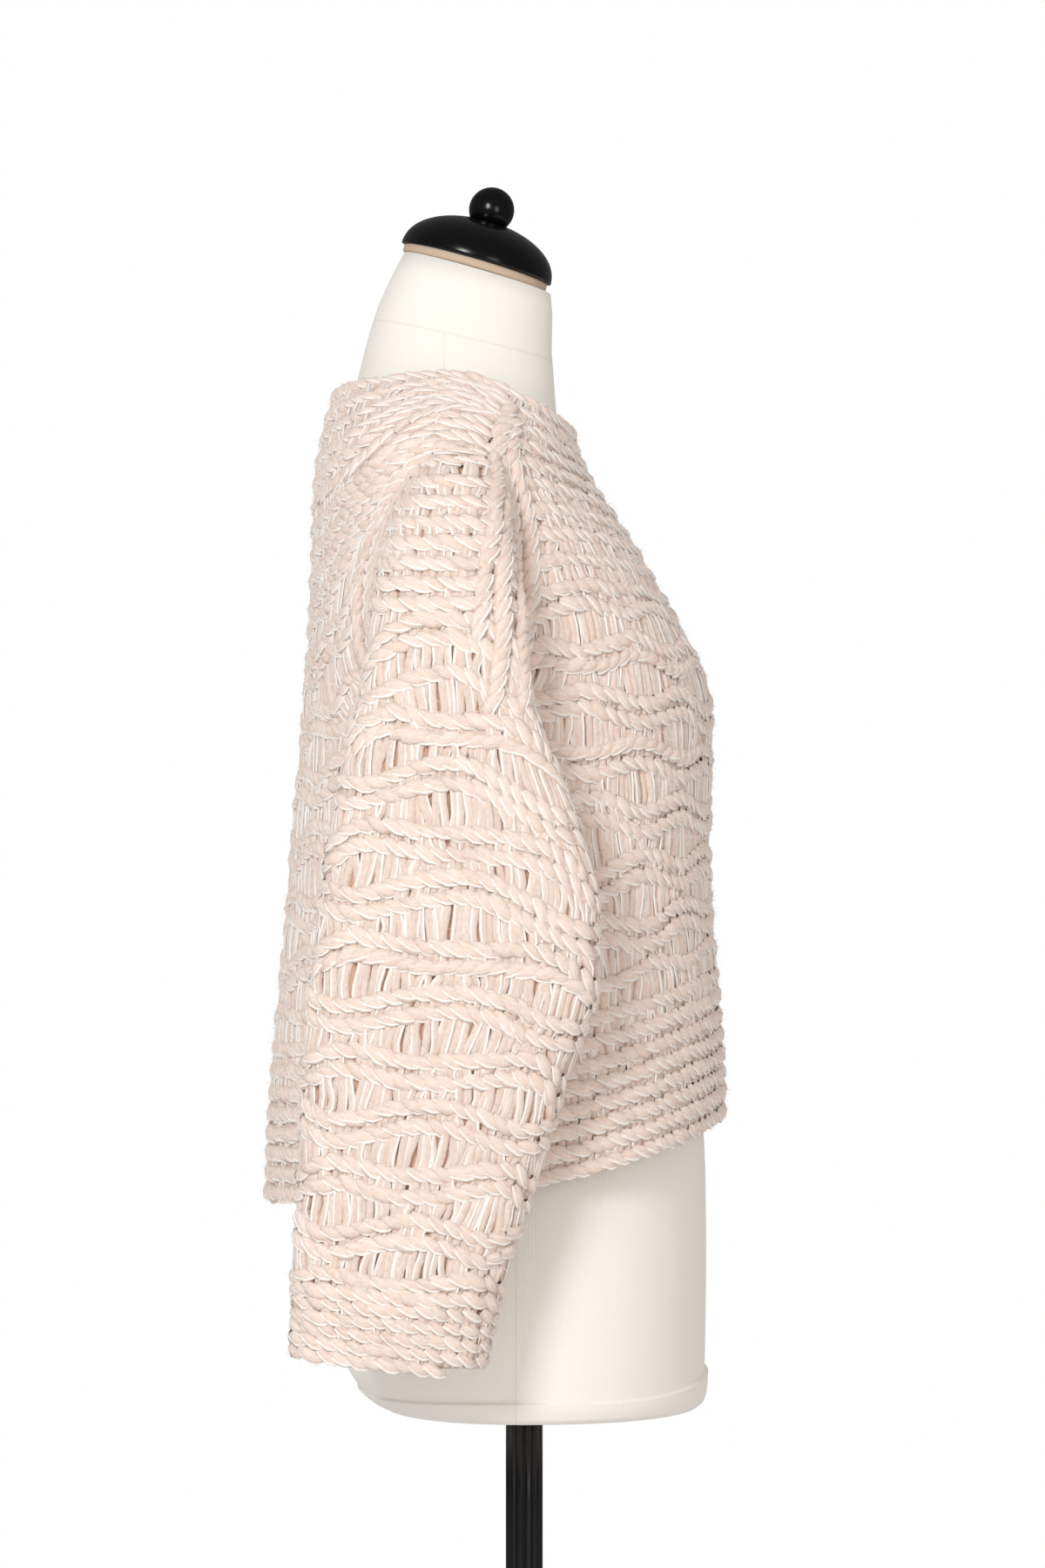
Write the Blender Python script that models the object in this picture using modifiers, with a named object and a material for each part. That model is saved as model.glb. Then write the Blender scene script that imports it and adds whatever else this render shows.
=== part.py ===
"""A chunky knit sweater on a limbless dress form, standing on its fluted pole and round base.

Metres, +Z up. The origin is the centre of the base's underside, on the pole's axis. The form's
front faces -Y, and the sweater's own right side is at -X. The tables below are in millimetres.
"""

import math

import bmesh
import bpy
import numpy as np

MM = 0.001
GAP = 0.3 * MM

# Stand and neck cap
BASE_RADIUS = 170 * MM
BASE_THICKNESS = 18 * MM
BASE_EDGE = 5 * MM
BOSS_TOP_RADIUS = 26 * MM
BOSS_SHOULDER = (29 * MM, 44 * MM)
BOSS_WAIST = (32 * MM, 24 * MM)
BOSS_FOOT_RADIUS = 40 * MM
BOSS_HEIGHT = 46 * MM
POLE_RADIUS = 12.4 * MM
FLUTE_DEPTH = 1.3 * MM
FLUTES = 12
FORM_BOTTOM = 760 * MM
CAP_TILT = math.radians(16)
CAP_CENTRE = (0.0, 31.7 * MM, 1511.7 * MM)
CAP_RADIUS = 51.2 * MM
CAP_HEIGHT = 29 * MM
CAP_ROUNDNESS = 2.1
BALL_RADIUS = 15 * MM
BALL_HEIGHT = 36.8 * MM
DISC_RADIUS = 49 * MM
DISC_THICKNESS = 5.5 * MM

# Knitted wall: thickness in the open loops, and how far the ridges stand out past it
WALL = 6.0 * MM
RIDGE = 3.5 * MM
SEAM_SHARE = 0.35

# Rows of the body, counted in half ridges from the hem up
BORDER_TOP = 16
UNDERARM = 36
PATTERN_TOP = 48
SHOULDER = 52
NECKLINE = 64
PANEL_COLUMNS = 22
COLUMNS_PER_WAVE = 4
PANEL_INNER_ROWS = [0, 12, 24, *range(UNDERARM, SHOULDER + 1), 56, 60, NECKLINE]

# Rows of a sleeve, counted in half ridges from the armhole down
SLEEVE_PATTERN = 18
CUFF_TOP = 62
CUFF_EDGE = 72
SLEEVE_COLUMNS = 16
SLEEVE_INNER_ROWS = [4, 8, 12, 18, 24, 30, 36, 42, 48, 55, CUFF_TOP, CUFF_EDGE]

# The sleeve starts this far out from the seam, and follows the seam's shape less and less over
# SETTLE_ROWS. Its ridges rise over RISE_ROWS, and those under the arm over UNDERARM_ROWS.
SLEEVE_START = 0.5 * MM
SETTLE_ROWS = 14
RISE_ROWS = 3
UNDERARM_ROWS = 34

# Each panel stops this far short of a seam, as a turn: about half the gap on a 150 mm radius
SEAM_TURN = 0.002

# Relief fades out over the last tenth of a panel's width: one less its share across to this power
EDGE_POWER = 8

# Open-loop bands: 4 rows to a band, and each lens's half height as a least and a swing, in rows.
# Two ridges lie at shares of the way between lenses, and a lens's own rows just inside its edges.
BAND_ROWS = 4
LENS_LEAST = 0.35
LENS_SWING = 1.15
LOW_RIDGE_SHARE = 0.27
HIGH_RIDGE_SHARE = 0.73
INSIDE_LENS = 0.1
FIRST_RIDGE = 0.3

# Height left between plain ridges, as a share of theirs
GROOVE_SHARE = 0.1

# The armhole's front and back edges bow away from its middle line by these turns, as a sine to a
# power. Its wall leans from the body's normal towards the sleeve's by ARMHOLE_LEAN.
ARMHOLE_BOW_FRONT = math.radians(7)
ARMHOLE_BOW_BACK = math.radians(31)
ARMHOLE_BOW_POWER = 0.6
ARMHOLE_LEAN = 0.8

# How the rows' height runs from the side to the middle of the front or back
SAG_POWER = 1.35

# Levels of the torso's rings: first height, last height and count of each run
TORSO_LEVELS = [
    (760, 764, 2),
    (772, 772, 1),
    (790, 1330, 17),
    (1346, 1380, 4),
    (1387, 1436, 8),
    (1448, 1505.5, 4),
]
TORSO_SEGMENTS = 28
TORSO_SQUARENESS = 2.25
BODY_SQUARENESS = 2.3
SLEEVE_SQUARENESS = 2.4

TORSO_COLUMNS = ("height", "half_width", "front", "back", "side", "tilt")
TORSO = [
    (760, 161, -115, 93, 0, 0),
    (770, 166, -118, 106, 1, 0),
    (786, 169.5, -119, 117, 2, 0),
    (810, 172, -119.5, 123, 2, 0),
    (860, 174, -120, 129, 2, 0),
    (910, 173, -119.5, 130, 2, 0),
    (955, 167, -117, 123, 1, 0),
    (1000, 153, -104, 108, 0, 0),
    (1050, 133, -89, 90, -1, 0),
    (1100, 125, -84, 84, -1, 0),
    (1140, 133, -90, 91, 3, 0),
    (1180, 147, -104, 104, 9, 0),
    (1214, 156, -112, 115, 17, 0),
    (1240, 162, -106, 120, 24, 0),
    (1262, 167, -95.5, 124, 31, 0),
    (1290, 173, -80, 127, 38, 0),
    (1318, 179, -63.5, 128.3, 44, 0),
    (1342, 182, -48, 128, 47, 0),
    (1365, 181, -33, 126.5, 48, 0),
    (1380, 176.9, -25.5, 124.5, 49, 0),
    (1390, 166, -23, 122, 50, 0),
    (1400, 149, -22, 119.5, 50, 0),
    (1410, 126, -21.5, 117, 49.5, 0),
    (1420, 100.8, -20.5, 114, 49, 0),
    (1430, 77, -20, 111, 48, 1),
    (1442, 64, -19.5, 107.5, 46.5, 3),
    (1458, 58, -18.5, 103, 44, 6),
    (1476, 54, -19.3, 96.5, 41, 10),
    (1492, 50.5, -20, 88.5, 37, 13),
    (1505.5, 48, -19.5, 81, 33.3, 16),
]

SWEATER_COLUMNS = ("height", "half_width", "front", "back", "side")
SWEATER = [
    (885, 197, -122, 163, 18),
    (950, 196, -124, 160, 18),
    (1005, 194.5, -122, 156, 19),
    (1060, 193, -117.5, 150.5, 21),
    (1120, 191, -114, 145.5, 26),
    (1170, 190, -115, 141, 33),
    (1214, 190, -116, 137.5, 40),
    (1240, 190, -109.5, 135.5, 43),
    (1262, 190, -99, 134, 45),
    (1290, 190, -83.5, 132.5, 46),
    (1318, 190, -67, 131.5, 47),
    (1342, 189.5, -51.5, 131, 48),
    (1365, 188, -36.5, 129.8, 49),
    (1382, 181.5, -28.5, 127.5, 50),
    (1392, 170, -25.8, 125.5, 50),
    (1403, 150, -24, 123, 50),
    (1414, 125, -23.2, 120.5, 50),
    (1424, 101, -22.6, 117.5, 50),
    (1434, 80, -22.4, 114.5, 50),
]

# Heights of the body's rows at the front's centre, the sides and the back's centre
ROW_COLUMNS = ("row", "front", "side", "back")
ROWS = [
    (0, 951, 913, 897),
    (BORDER_TOP, 1050, 1019, 1002),
    (UNDERARM, 1205, 1222, 1192),
    (SHOULDER, 1332, 1381, 1336),
    (NECKLINE, 1400, 1428.5, 1426),
]

# How far the armhole and shoulder seams lean forward of the side line, in degrees
LEAN_COLUMNS = ("row", "degrees")
LEAN = [(0, 0), (UNDERARM, 0), (SHOULDER, 14), (NECKLINE, 30)]

# The sleeve's hollow: its outer line and its under line from the front, its edges from the side
SLEEVE_TABLE_COLUMNS = ("row", "over_x", "over_z", "under_x", "under_z", "front", "back")
SLEEVE = [
    (0, 176, 1381, 188, 1222, 8, 86),
    (3, 201, 1370, 201, 1220, 8, 86),
    (6, 223, 1352, 208, 1216, 8, 87),
    (9, 239, 1329, 213, 1210, 8, 88),
    (12, 250, 1303, 216, 1203, 7, 90),
    (18, 260, 1250, 218, 1185, 3, 95),
    (24, 264, 1197, 218.5, 1160, -12, 105),
    (30, 266, 1144, 219, 1121, -29, 114),
    (36, 266.5, 1091, 219, 1078, -40, 121),
    (41, 266, 1047, 219, 1038, -39, 126),
    (48, 264.5, 985, 218.5, 981, -19, 131),
    (55, 262, 923, 218, 921, -1, 134),
    (CUFF_TOP, 259, 862, 217.5, 861, 19, 137),
    (CUFF_EDGE, 256, 804, 217, 804, 31, 139),
]

COLOURS = {
    "knit_front": ((0.80, 0.64, 0.56), 0.95, 0.0),
    "knit_back": ((0.79, 0.63, 0.55), 0.95, 0.0),
    "knit_sleeve_right": ((0.82, 0.66, 0.58), 0.95, 0.0),
    "knit_sleeve_left": ((0.81, 0.65, 0.57), 0.95, 0.0),
    "jersey": ((0.86, 0.82, 0.74), 0.85, 0.0),
    "raw_wood": ((0.52, 0.36, 0.24), 0.7, 0.0),
    "black_wood_cap": ((0.012, 0.012, 0.013), 0.35, 0.0),
    "black_wood_ball": ((0.012, 0.012, 0.013), 0.3, 0.0),
    "black_pole": ((0.02, 0.02, 0.021), 0.4, 0.6),
    "black_base": ((0.02, 0.02, 0.021), 0.45, 0.2),
}


def smooth_curve(xs, ys):
    """A monotone cubic through the points, with no overshoot: level where the slopes change sign."""
    xs, ys = np.array(xs, float), np.array(ys, float)
    run = np.diff(xs)
    slope = np.diff(ys) / run
    product = slope[:-1] * slope[1:]
    total = np.where(product > 0, slope[:-1] + slope[1:], 1.0)
    inner = np.where(product > 0, 2 * product / total, 0.0)
    tangent = np.concatenate([slope[:1], inner, slope[-1:]])

    def at(x):
        x = np.clip(np.asarray(x, float), xs[0], xs[-1])
        i = np.clip(np.searchsorted(xs, x, side="right") - 1, 0, len(run) - 1)
        f = (x - xs[i]) / run[i]
        ends = ys[i] * (1 + 2 * f) * (1 - f) ** 2 + ys[i + 1] * f * f * (3 - 2 * f)
        return ends + run[i] * f * (1 - f) * (tangent[i] * (1 - f) - tangent[i + 1] * f)

    return at


def curves_of(names, rows):
    """One smooth curve for each named column after the first, which they all run along."""
    columns = list(zip(*rows))
    return {name: smooth_curve(columns[0], column) for name, column in zip(names[1:], columns[1:])}


torso_at = curves_of(TORSO_COLUMNS, TORSO)
sweater_at = curves_of(SWEATER_COLUMNS, SWEATER)
row_at = curves_of(ROW_COLUMNS, ROWS)
lean_at = curves_of(LEAN_COLUMNS, LEAN)["degrees"]
sleeve_at = curves_of(SLEEVE_TABLE_COLUMNS, SLEEVE)


def rounded(value, squareness):
    """Turns a sine or cosine into a superellipse's coordinate, keeping its sign."""
    return np.sign(value) * np.abs(value) ** (2 / squareness)


def section(turn, half_width, front, back, side, squareness):
    """A garment or torso section: x and y at each turn, 0 at the front and a quarter at the right side."""
    x = -half_width * rounded(np.sin(turn), squareness)
    depth = np.where(np.cos(turn) > 0, side - front, back - side)
    y = side - depth * rounded(np.cos(turn), squareness)
    return x, y


def body_surface(turn, row):
    """The sweater body's inner surface, in metres. Rows dip or rise between the front, sides and back."""
    turn, row = np.broadcast_arrays(np.asarray(turn, float), np.asarray(row, float))
    middle = np.where(np.cos(turn) > 0, row_at["front"](row), row_at["back"](row))
    height = row_at["side"](row) + (middle - row_at["side"](row)) * np.abs(np.cos(turn)) ** SAG_POWER
    x, y = section(turn, *(sweater_at[name](height) for name in SWEATER_COLUMNS[1:]), BODY_SQUARENESS)
    return np.stack([x, y, height], axis=-1) * MM


def body_normal(turn, row):
    """The outward normal, from small steps along the turn and across the rows."""
    step = 1e-3
    across = body_surface(turn + step, row) - body_surface(turn - step, row)
    up = body_surface(turn, row + step) - body_surface(turn, row - step)
    normal = np.cross(up, across)
    return normal / np.linalg.norm(normal, axis=-1, keepdims=True)


def seam_turn(row, bow):
    """Turn of a panel's edge: the side seam, the armhole bowed by this much, then the shoulder seam."""
    share = np.clip((np.asarray(row, float) - UNDERARM) / (SHOULDER - UNDERARM), 0, 1)
    return math.pi / 2 - np.radians(lean_at(row)) + bow * np.sin(math.pi * share) ** ARMHOLE_BOW_POWER


def lens_half(band, phase):
    """Half height of the open loops in a band, staggered by half a wave from band to band."""
    return LENS_LEAST + LENS_SWING * (0.5 + 0.5 * np.cos(phase + math.pi * band))


def wave_rows(rows, first, last, phase):
    """Place of each row where the pattern bends it: two ridges, then the lens's lower and upper edge."""
    rows, phase = np.broadcast_arrays(rows.astype(float)[:, None], phase[None, :])
    band, kind = np.divmod(rows - first, BAND_ROWS)
    below = BAND_ROWS * band - 1 + lens_half(band - 1, phase)
    below = np.where(band == 0, FIRST_RIDGE, below)
    above = BAND_ROWS * band + 3 - lens_half(band, phase)
    top = BAND_ROWS * band + 3 + lens_half(band, phase)
    ridges = above - below
    low, high = below + LOW_RIDGE_SHARE * ridges, below + HIGH_RIDGE_SHARE * ridges
    placed = np.choose(kind.astype(int), [low, high, above + INSIDE_LENS, top - INSIDE_LENS])
    patterned = (rows > first) & (rows < last)
    return np.where(patterned, first + placed, rows)


def relief(rows, first, last):
    """Share of the ridge's height at each row: two ridges to a band in the pattern, else every second row."""
    kind = np.mod(rows - first, BAND_ROWS)
    patterned = np.where(kind < 2, 1.0, 0.0)
    plain = np.where(rows % 2 == 0, GROOVE_SHARE, 1.0)
    return np.where((rows > first) & (rows < last), patterned, plain)


def smooth_step(value):
    value = np.clip(value, 0, 1)
    return value * value * (3 - 2 * value)


def material_of(name):
    colour, roughness, metallic = COLOURS[name]
    material = bpy.data.materials.new(name)
    material.use_nodes = True
    shader = material.node_tree.nodes["Principled BSDF"]
    shader.inputs["Base Color"].default_value = (*colour, 1)
    shader.inputs["Roughness"].default_value = roughness
    shader.inputs["Metallic"].default_value = metallic
    material.diffuse_color = (*colour, 1)
    return material


def add_object(name, data, material, collection, parent):
    placed = bpy.data.objects.new(name, data)
    placed.data.materials.append(material_of(material))
    placed.parent = parent
    collection.objects.link(placed)
    return placed


def mesh_of(name, points, faces):
    """A closed mesh with its faces turned outwards, shaded smooth."""
    mesh = bpy.data.meshes.new(name)
    mesh.from_pydata([tuple(point) for point in points], [], [tuple(face) for face in faces])
    shape = bmesh.new()
    shape.from_mesh(mesh)
    bmesh.ops.recalc_face_normals(shape, faces=shape.faces)
    shape.to_mesh(mesh)
    shape.free()
    mesh.shade_smooth()
    return mesh


def strip(lower, upper, closed):
    """Quads between two rows of the same length."""
    count = len(lower)
    return [
        (lower[i], lower[(i + 1) % count], upper[(i + 1) % count], upper[i])
        for i in range(count if closed else count - 1)
    ]


def fan_strip(fine, coarse):
    """Triangles between a closed ring and one with half as many points."""
    faces = []
    for i in range(len(coarse)):
        start, middle, end = fine[2 * i], fine[2 * i + 1], fine[(2 * i + 2) % len(fine)]
        here, following = coarse[i], coarse[(i + 1) % len(coarse)]
        faces += [(start, middle, here), (middle, following, here), (middle, end, following)]
    return faces


def edge_strip(fine, coarse, shared):
    """Closes a wall's side edge between every row of the outer face and the shared rows of the inner."""
    faces = []
    for i in range(len(shared) - 1):
        rows = range(shared[i], shared[i + 1])
        half = (shared[i] + shared[i + 1]) // 2
        faces += [(fine[row], fine[row + 1], coarse[i + (row >= half)]) for row in rows]
        faces.append((fine[half], coarse[i + 1], coarse[i]))
    return faces


def panel_mesh(name, middle, bow, sign):
    """A front or back panel: ridged outer face, plain inner face on fewer rows, closed all round.

    middle is the turn of its centre line. bow is its armhole's, and sign is 1 where its edge's turn
    grows away from its centre.
    """
    rows = np.arange(NECKLINE + 1)
    across = np.linspace(-1, 1, PANEL_COLUMNS + 1)
    phase = 2 * math.pi * (np.arange(PANEL_COLUMNS + 1) - PANEL_COLUMNS / 2) / COLUMNS_PER_WAVE
    away = 1 - across**EDGE_POWER
    bent = rows[:, None] + away * (wave_rows(rows, BORDER_TOP, PATTERN_TOP, phase) - rows[:, None])

    def turns(row):
        edge = seam_turn(row, bow) - sign * SEAM_TURN
        half = edge if sign > 0 else math.pi - edge
        return middle + across * half

    height = relief(rows, BORDER_TOP, PATTERN_TOP)[:, None] * away + SEAM_SHARE * (1 - away)
    thickness = WALL + RIDGE * height
    inner = body_surface(turns(bent), bent)
    normal = body_normal(turns(bent), bent)
    outer = inner + normal * thickness[..., None]
    loop = armhole_directions()
    for row in range(UNDERARM, SHOULDER + 1):
        for column, side in ((0, -1), (PANEL_COLUMNS, 1)):
            on_right = (side > 0) == (sign > 0)
            lean = loop[sign][row - UNDERARM] * ((1, 1, 1) if on_right else (-1, 1, 1))
            outer[row, column] = inner[row, column] + lean * (WALL + SEAM_SHARE * RIDGE)

    shared = PANEL_INNER_ROWS
    plain = body_surface(turns(np.array(shared)[:, None]), np.array(shared)[:, None])
    points = np.concatenate([outer.reshape(-1, 3), plain.reshape(-1, 3)])
    index = np.arange(len(points))
    width = PANEL_COLUMNS + 1
    outside = index[: len(rows) * width].reshape(len(rows), width)
    inside = index[len(rows) * width :].reshape(len(shared), width)
    faces = []
    for row in range(NECKLINE):
        faces += strip(outside[row], outside[row + 1], False)
    for row in range(len(shared) - 1):
        faces += strip(inside[row + 1], inside[row], False)
    faces += strip(inside[0], outside[0], False) + strip(outside[-1], inside[-1], False)
    faces += edge_strip(outside[:, 0], inside[:, 0], shared)
    faces += edge_strip(outside[:, -1], inside[:, -1], shared)
    return mesh_of(name, points, faces)


def armhole_directions():
    """Wall direction along the right armhole seam: midway between the body's normal and the sleeve's."""
    rows = np.arange(UNDERARM, SHOULDER + 1)
    angle = math.pi * (SHOULDER - rows) / (SHOULDER - UNDERARM)
    found = {}
    for sign, bow in ((1, -ARMHOLE_BOW_FRONT), (-1, ARMHOLE_BOW_BACK)):
        radial = np.stack([0 * angle, -sign * np.sin(angle), np.cos(angle)], axis=-1)
        direction = body_normal(seam_turn(rows, bow), rows) + ARMHOLE_LEAN * radial
        found[sign] = direction / np.linalg.norm(direction, axis=-1, keepdims=True)
    return found


def armhole_ring():
    """The right armhole's points and wall directions, from the shoulder down the front and up the back."""
    down = np.arange(SHOULDER, UNDERARM, -1)
    up = np.arange(UNDERARM, SHOULDER)
    loop = armhole_directions()
    points = np.concatenate(
        [
            body_surface(seam_turn(down, -ARMHOLE_BOW_FRONT), down),
            body_surface(seam_turn(up, ARMHOLE_BOW_BACK), up),
        ]
    )
    directions = np.concatenate([loop[1][down - UNDERARM], loop[-1][up - UNDERARM]])
    return points, directions


def sleeve_rings(row, angle, thickness):
    """Points round the right sleeve at these rows and angles, 0 on its outer line, a quarter at its front."""
    over = np.stack([-sleeve_at["over_x"](row), sleeve_at["over_z"](row)], axis=-1) * MM
    under = np.stack([-sleeve_at["under_x"](row), sleeve_at["under_z"](row)], axis=-1) * MM
    front, back = sleeve_at["front"](row) * MM, sleeve_at["back"](row) * MM
    half = (over - under) / 2
    length = np.linalg.norm(half, axis=-1)
    reach = rounded(np.cos(angle), SLEEVE_SQUARENESS) * (1 + thickness / length)
    centre = (over + under) / 2 + half * reach[..., None]
    y = (front + back) / 2 - ((back - front) / 2 + thickness) * rounded(np.sin(angle), SLEEVE_SQUARENESS)
    return np.stack([centre[..., 0], y, centre[..., 1]], axis=-1)


def sleeve_mesh(name, side):
    """A sleeve: its first ring follows the armhole seam, and the rest fan round the underarm and hang."""
    loop, directions = armhole_ring()
    fine = 2 * math.pi * np.arange(2 * SLEEVE_COLUMNS) / (2 * SLEEVE_COLUMNS)
    edge = WALL + SEAM_SHARE * RIDGE
    first_inner = loop - (SLEEVE_START, 0, 0)
    first_outer = first_inner + directions * edge
    zero = np.zeros_like(fine)
    shift_inner = first_inner - sleeve_rings(zero, fine, zero)
    shift_outer = first_outer - sleeve_rings(zero, fine, zero + edge)

    rows = np.arange(1, CUFF_EDGE + 1)
    angle = fine[::2][None, :]
    phase = 2 * math.pi * np.arange(SLEEVE_COLUMNS) / COLUMNS_PER_WAVE
    under_arm = (0.5 - 0.5 * np.cos(angle)) * (1 - smooth_step(rows[:, None] / UNDERARM_ROWS))
    bent = wave_rows(rows, SLEEVE_PATTERN, CUFF_TOP, phase)
    bent = rows[:, None] + (1 - under_arm) * (bent - rows[:, None])
    ridge = RIDGE * relief(rows, SLEEVE_PATTERN, CUFF_TOP)[:, None] * (1 - under_arm)
    ridge = ridge * smooth_step(rows[:, None] / RISE_ROWS)
    settle = (1 - smooth_step(bent / SETTLE_ROWS))[..., None]
    outer = sleeve_rings(bent, angle + 0 * bent, WALL + ridge) + shift_outer[::2] * settle
    plain = np.array(SLEEVE_INNER_ROWS, float)[:, None]
    hollow = sleeve_rings(plain + 0 * angle, angle + 0 * plain, 0 * plain + 0 * angle)
    hollow = hollow + shift_inner[::2] * (1 - smooth_step(plain / SETTLE_ROWS))[..., None]

    points = np.concatenate(
        [first_outer, outer.reshape(-1, 3), first_inner, hollow.reshape(-1, 3)]
    ) * (-side, 1, 1)
    starts = np.cumsum([len(fine), outer[..., 0].size, len(fine)])
    index = np.arange(len(points))
    outer_first, outside, inner_first, inside = np.split(index, starts)
    outside = outside.reshape(-1, SLEEVE_COLUMNS)
    inside = inside.reshape(-1, SLEEVE_COLUMNS)
    faces = fan_strip(outer_first, outside[0]) + fan_strip(inner_first, inside[0])
    for lower, upper in zip(outside[:-1], outside[1:]):
        faces += strip(lower, upper, True)
    for lower, upper in zip(inside[:-1], inside[1:]):
        faces += strip(lower, upper, True)
    faces += strip(inner_first, outer_first, True) + strip(outside[-1], inside[-1], True)
    return mesh_of(name, points, faces)


def torso_mesh(name):
    """The jersey-covered torso: level sections up to the shoulders, then tilting towards the neck's top."""
    heights = np.concatenate([np.linspace(*run) for run in TORSO_LEVELS])
    turn = 2 * math.pi * np.arange(TORSO_SEGMENTS) / TORSO_SEGMENTS
    turn, height = np.meshgrid(turn, heights)
    sizes = [torso_at[column](height) for column in TORSO_COLUMNS[1:5]]
    x, y = section(turn, *sizes, TORSO_SQUARENESS)
    tilt = np.radians(torso_at["tilt"](height))
    side = torso_at["side"](height)
    points = np.stack([x, side + (y - side) * np.cos(tilt), height + (y - side) * np.sin(tilt)], axis=-1)
    index = np.arange(turn.size).reshape(turn.shape)
    faces = [tuple(index[0]), tuple(index[-1])]
    for lower, upper in zip(index[:-1], index[1:]):
        faces += strip(lower, upper, True)
    return mesh_of(name, points.reshape(-1, 3) * MM, faces)


def turned(name, profile, segments, material, collection, parent):
    """A turned piece: its profile runs down the outer side at +X and a Screw sweeps it round Z."""
    mesh = bpy.data.meshes.new(name)
    edges = [(i, i + 1) for i in range(len(profile) - 1)]
    mesh.from_pydata([(radius, 0, height) for radius, height in profile], edges, [])
    piece = add_object(name, mesh, material, collection, parent)
    screw = piece.modifiers.new("turn", "SCREW")
    screw.steps = screw.render_steps = segments
    screw.use_merge_vertices = True
    screw.merge_threshold = 0.00001
    screw.use_smooth_shade = True
    return piece


def cap_profile():
    """A superellipse dome with a small flat where the ball sits."""
    quarter = [math.pi / 2 * i / 9 for i in range(10)]
    power = 2 / CAP_ROUNDNESS
    dome = [
        (CAP_RADIUS * max(math.sin(a), 0) ** power, CAP_HEIGHT * max(math.cos(a), 0) ** power)
        for a in quarter[2:]
    ]
    seat = dome[0][1]
    return [(0, seat)] + dome + [(0, 0)], seat


def ball_profile(seat):
    """A ball cut flat just above the cap's seat, with heights above the cap's rim."""
    floor = seat + GAP
    lowest = math.acos((floor - BALL_HEIGHT) / BALL_RADIUS)
    arc = [lowest * i / 11 for i in range(12)]
    points = [(BALL_RADIUS * math.sin(a), BALL_HEIGHT + BALL_RADIUS * math.cos(a)) for a in arc]
    return points + [(0, floor)]


def base_profile():
    """A round plate with a softened rim, rising to a boss under the pole."""
    reach, rise = BASE_RADIUS - BASE_EDGE, BASE_THICKNESS - BASE_EDGE
    rim = [
        (reach + BASE_EDGE * math.sin(a), rise + BASE_EDGE * math.cos(a))
        for a in (0, math.pi / 6, math.pi / 3, math.pi / 2)
    ]
    boss = [
        (0, BOSS_HEIGHT),
        (BOSS_TOP_RADIUS, BOSS_HEIGHT),
        BOSS_SHOULDER,
        BOSS_WAIST,
        (BOSS_FOOT_RADIUS, BASE_THICKNESS),
    ]
    return boss + rim + [(BASE_RADIUS, 0), (0, 0)]


def add_pole(collection, parent):
    """A flat outline with rounded flutes, extruded up from the boss to the torso."""
    bottom, top = BOSS_HEIGHT + GAP, FORM_BOTTOM - GAP
    curve = bpy.data.curves.new("pole", "CURVE")
    curve.dimensions = "2D"
    curve.fill_mode = "BOTH"
    curve.extrude = (top - bottom) / 2
    count = 4 * FLUTES
    spline = curve.splines.new("POLY")
    spline.points.add(count - 1)
    for i, point in enumerate(spline.points):
        radius = POLE_RADIUS - FLUTE_DEPTH * (i % 4 == 0)
        angle = 2 * math.pi * i / count
        point.co = (radius * math.cos(angle), radius * math.sin(angle), 0, 1)
    spline.use_cyclic_u = True
    pole = add_object("pole", curve, "black_pole", collection, parent)
    pole.location = (0, 0, (top + bottom) / 2)


def add_neck_disc(collection, cap_frame):
    mesh = bpy.data.meshes.new("neck_disc")
    shape = bmesh.new()
    bmesh.ops.create_cone(
        shape, cap_ends=True, segments=32, radius1=DISC_RADIUS, radius2=DISC_RADIUS, depth=DISC_THICKNESS
    )
    shape.to_mesh(mesh)
    shape.free()
    disc = add_object("neck_disc", mesh, "raw_wood", collection, cap_frame)
    disc.location = (0, 0, -DISC_THICKNESS / 2 - GAP)


def build():
    for old in list(bpy.data.objects):
        bpy.data.objects.remove(old)
    collection = bpy.data.collections.new("knit_sweater_on_dress_form")
    bpy.context.scene.collection.children.link(collection)
    stand = bpy.data.objects.new("stand", None)
    collection.objects.link(stand)
    cap_frame = bpy.data.objects.new("cap_frame", None)
    cap_frame.location = CAP_CENTRE
    cap_frame.rotation_euler = (CAP_TILT, 0, 0)
    cap_frame.parent = stand
    collection.objects.link(cap_frame)

    turned("base", base_profile(), 32, "black_base", collection, stand)
    add_pole(collection, stand)
    add_object("form_torso", torso_mesh("form_torso"), "jersey", collection, stand)
    add_neck_disc(collection, cap_frame)
    dome, seat = cap_profile()
    turned("neck_cap", dome, 32, "black_wood_cap", collection, cap_frame)
    turned("finial_ball", ball_profile(seat), 20, "black_wood_ball", collection, cap_frame)

    front = panel_mesh("sweater_front", 0, -ARMHOLE_BOW_FRONT, 1)
    back = panel_mesh("sweater_back", math.pi, ARMHOLE_BOW_BACK, -1)
    add_object("sweater_front", front, "knit_front", collection, stand)
    add_object("sweater_back", back, "knit_back", collection, stand)
    for name, side in (("sleeve_right", -1), ("sleeve_left", 1)):
        add_object(name, sleeve_mesh(name, side), f"knit_{name}", collection, stand)


build()
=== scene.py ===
# Looks for a chunky knit sweater on a limbless dress form.
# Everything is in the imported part's own frame: metres, +Z up, the form's front faces -Y
# and its right side is at -X.
# The tables repeat the part's own sizes in millimetres, so yarn, cloth and jersey lie where the solids are.

import math

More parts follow.
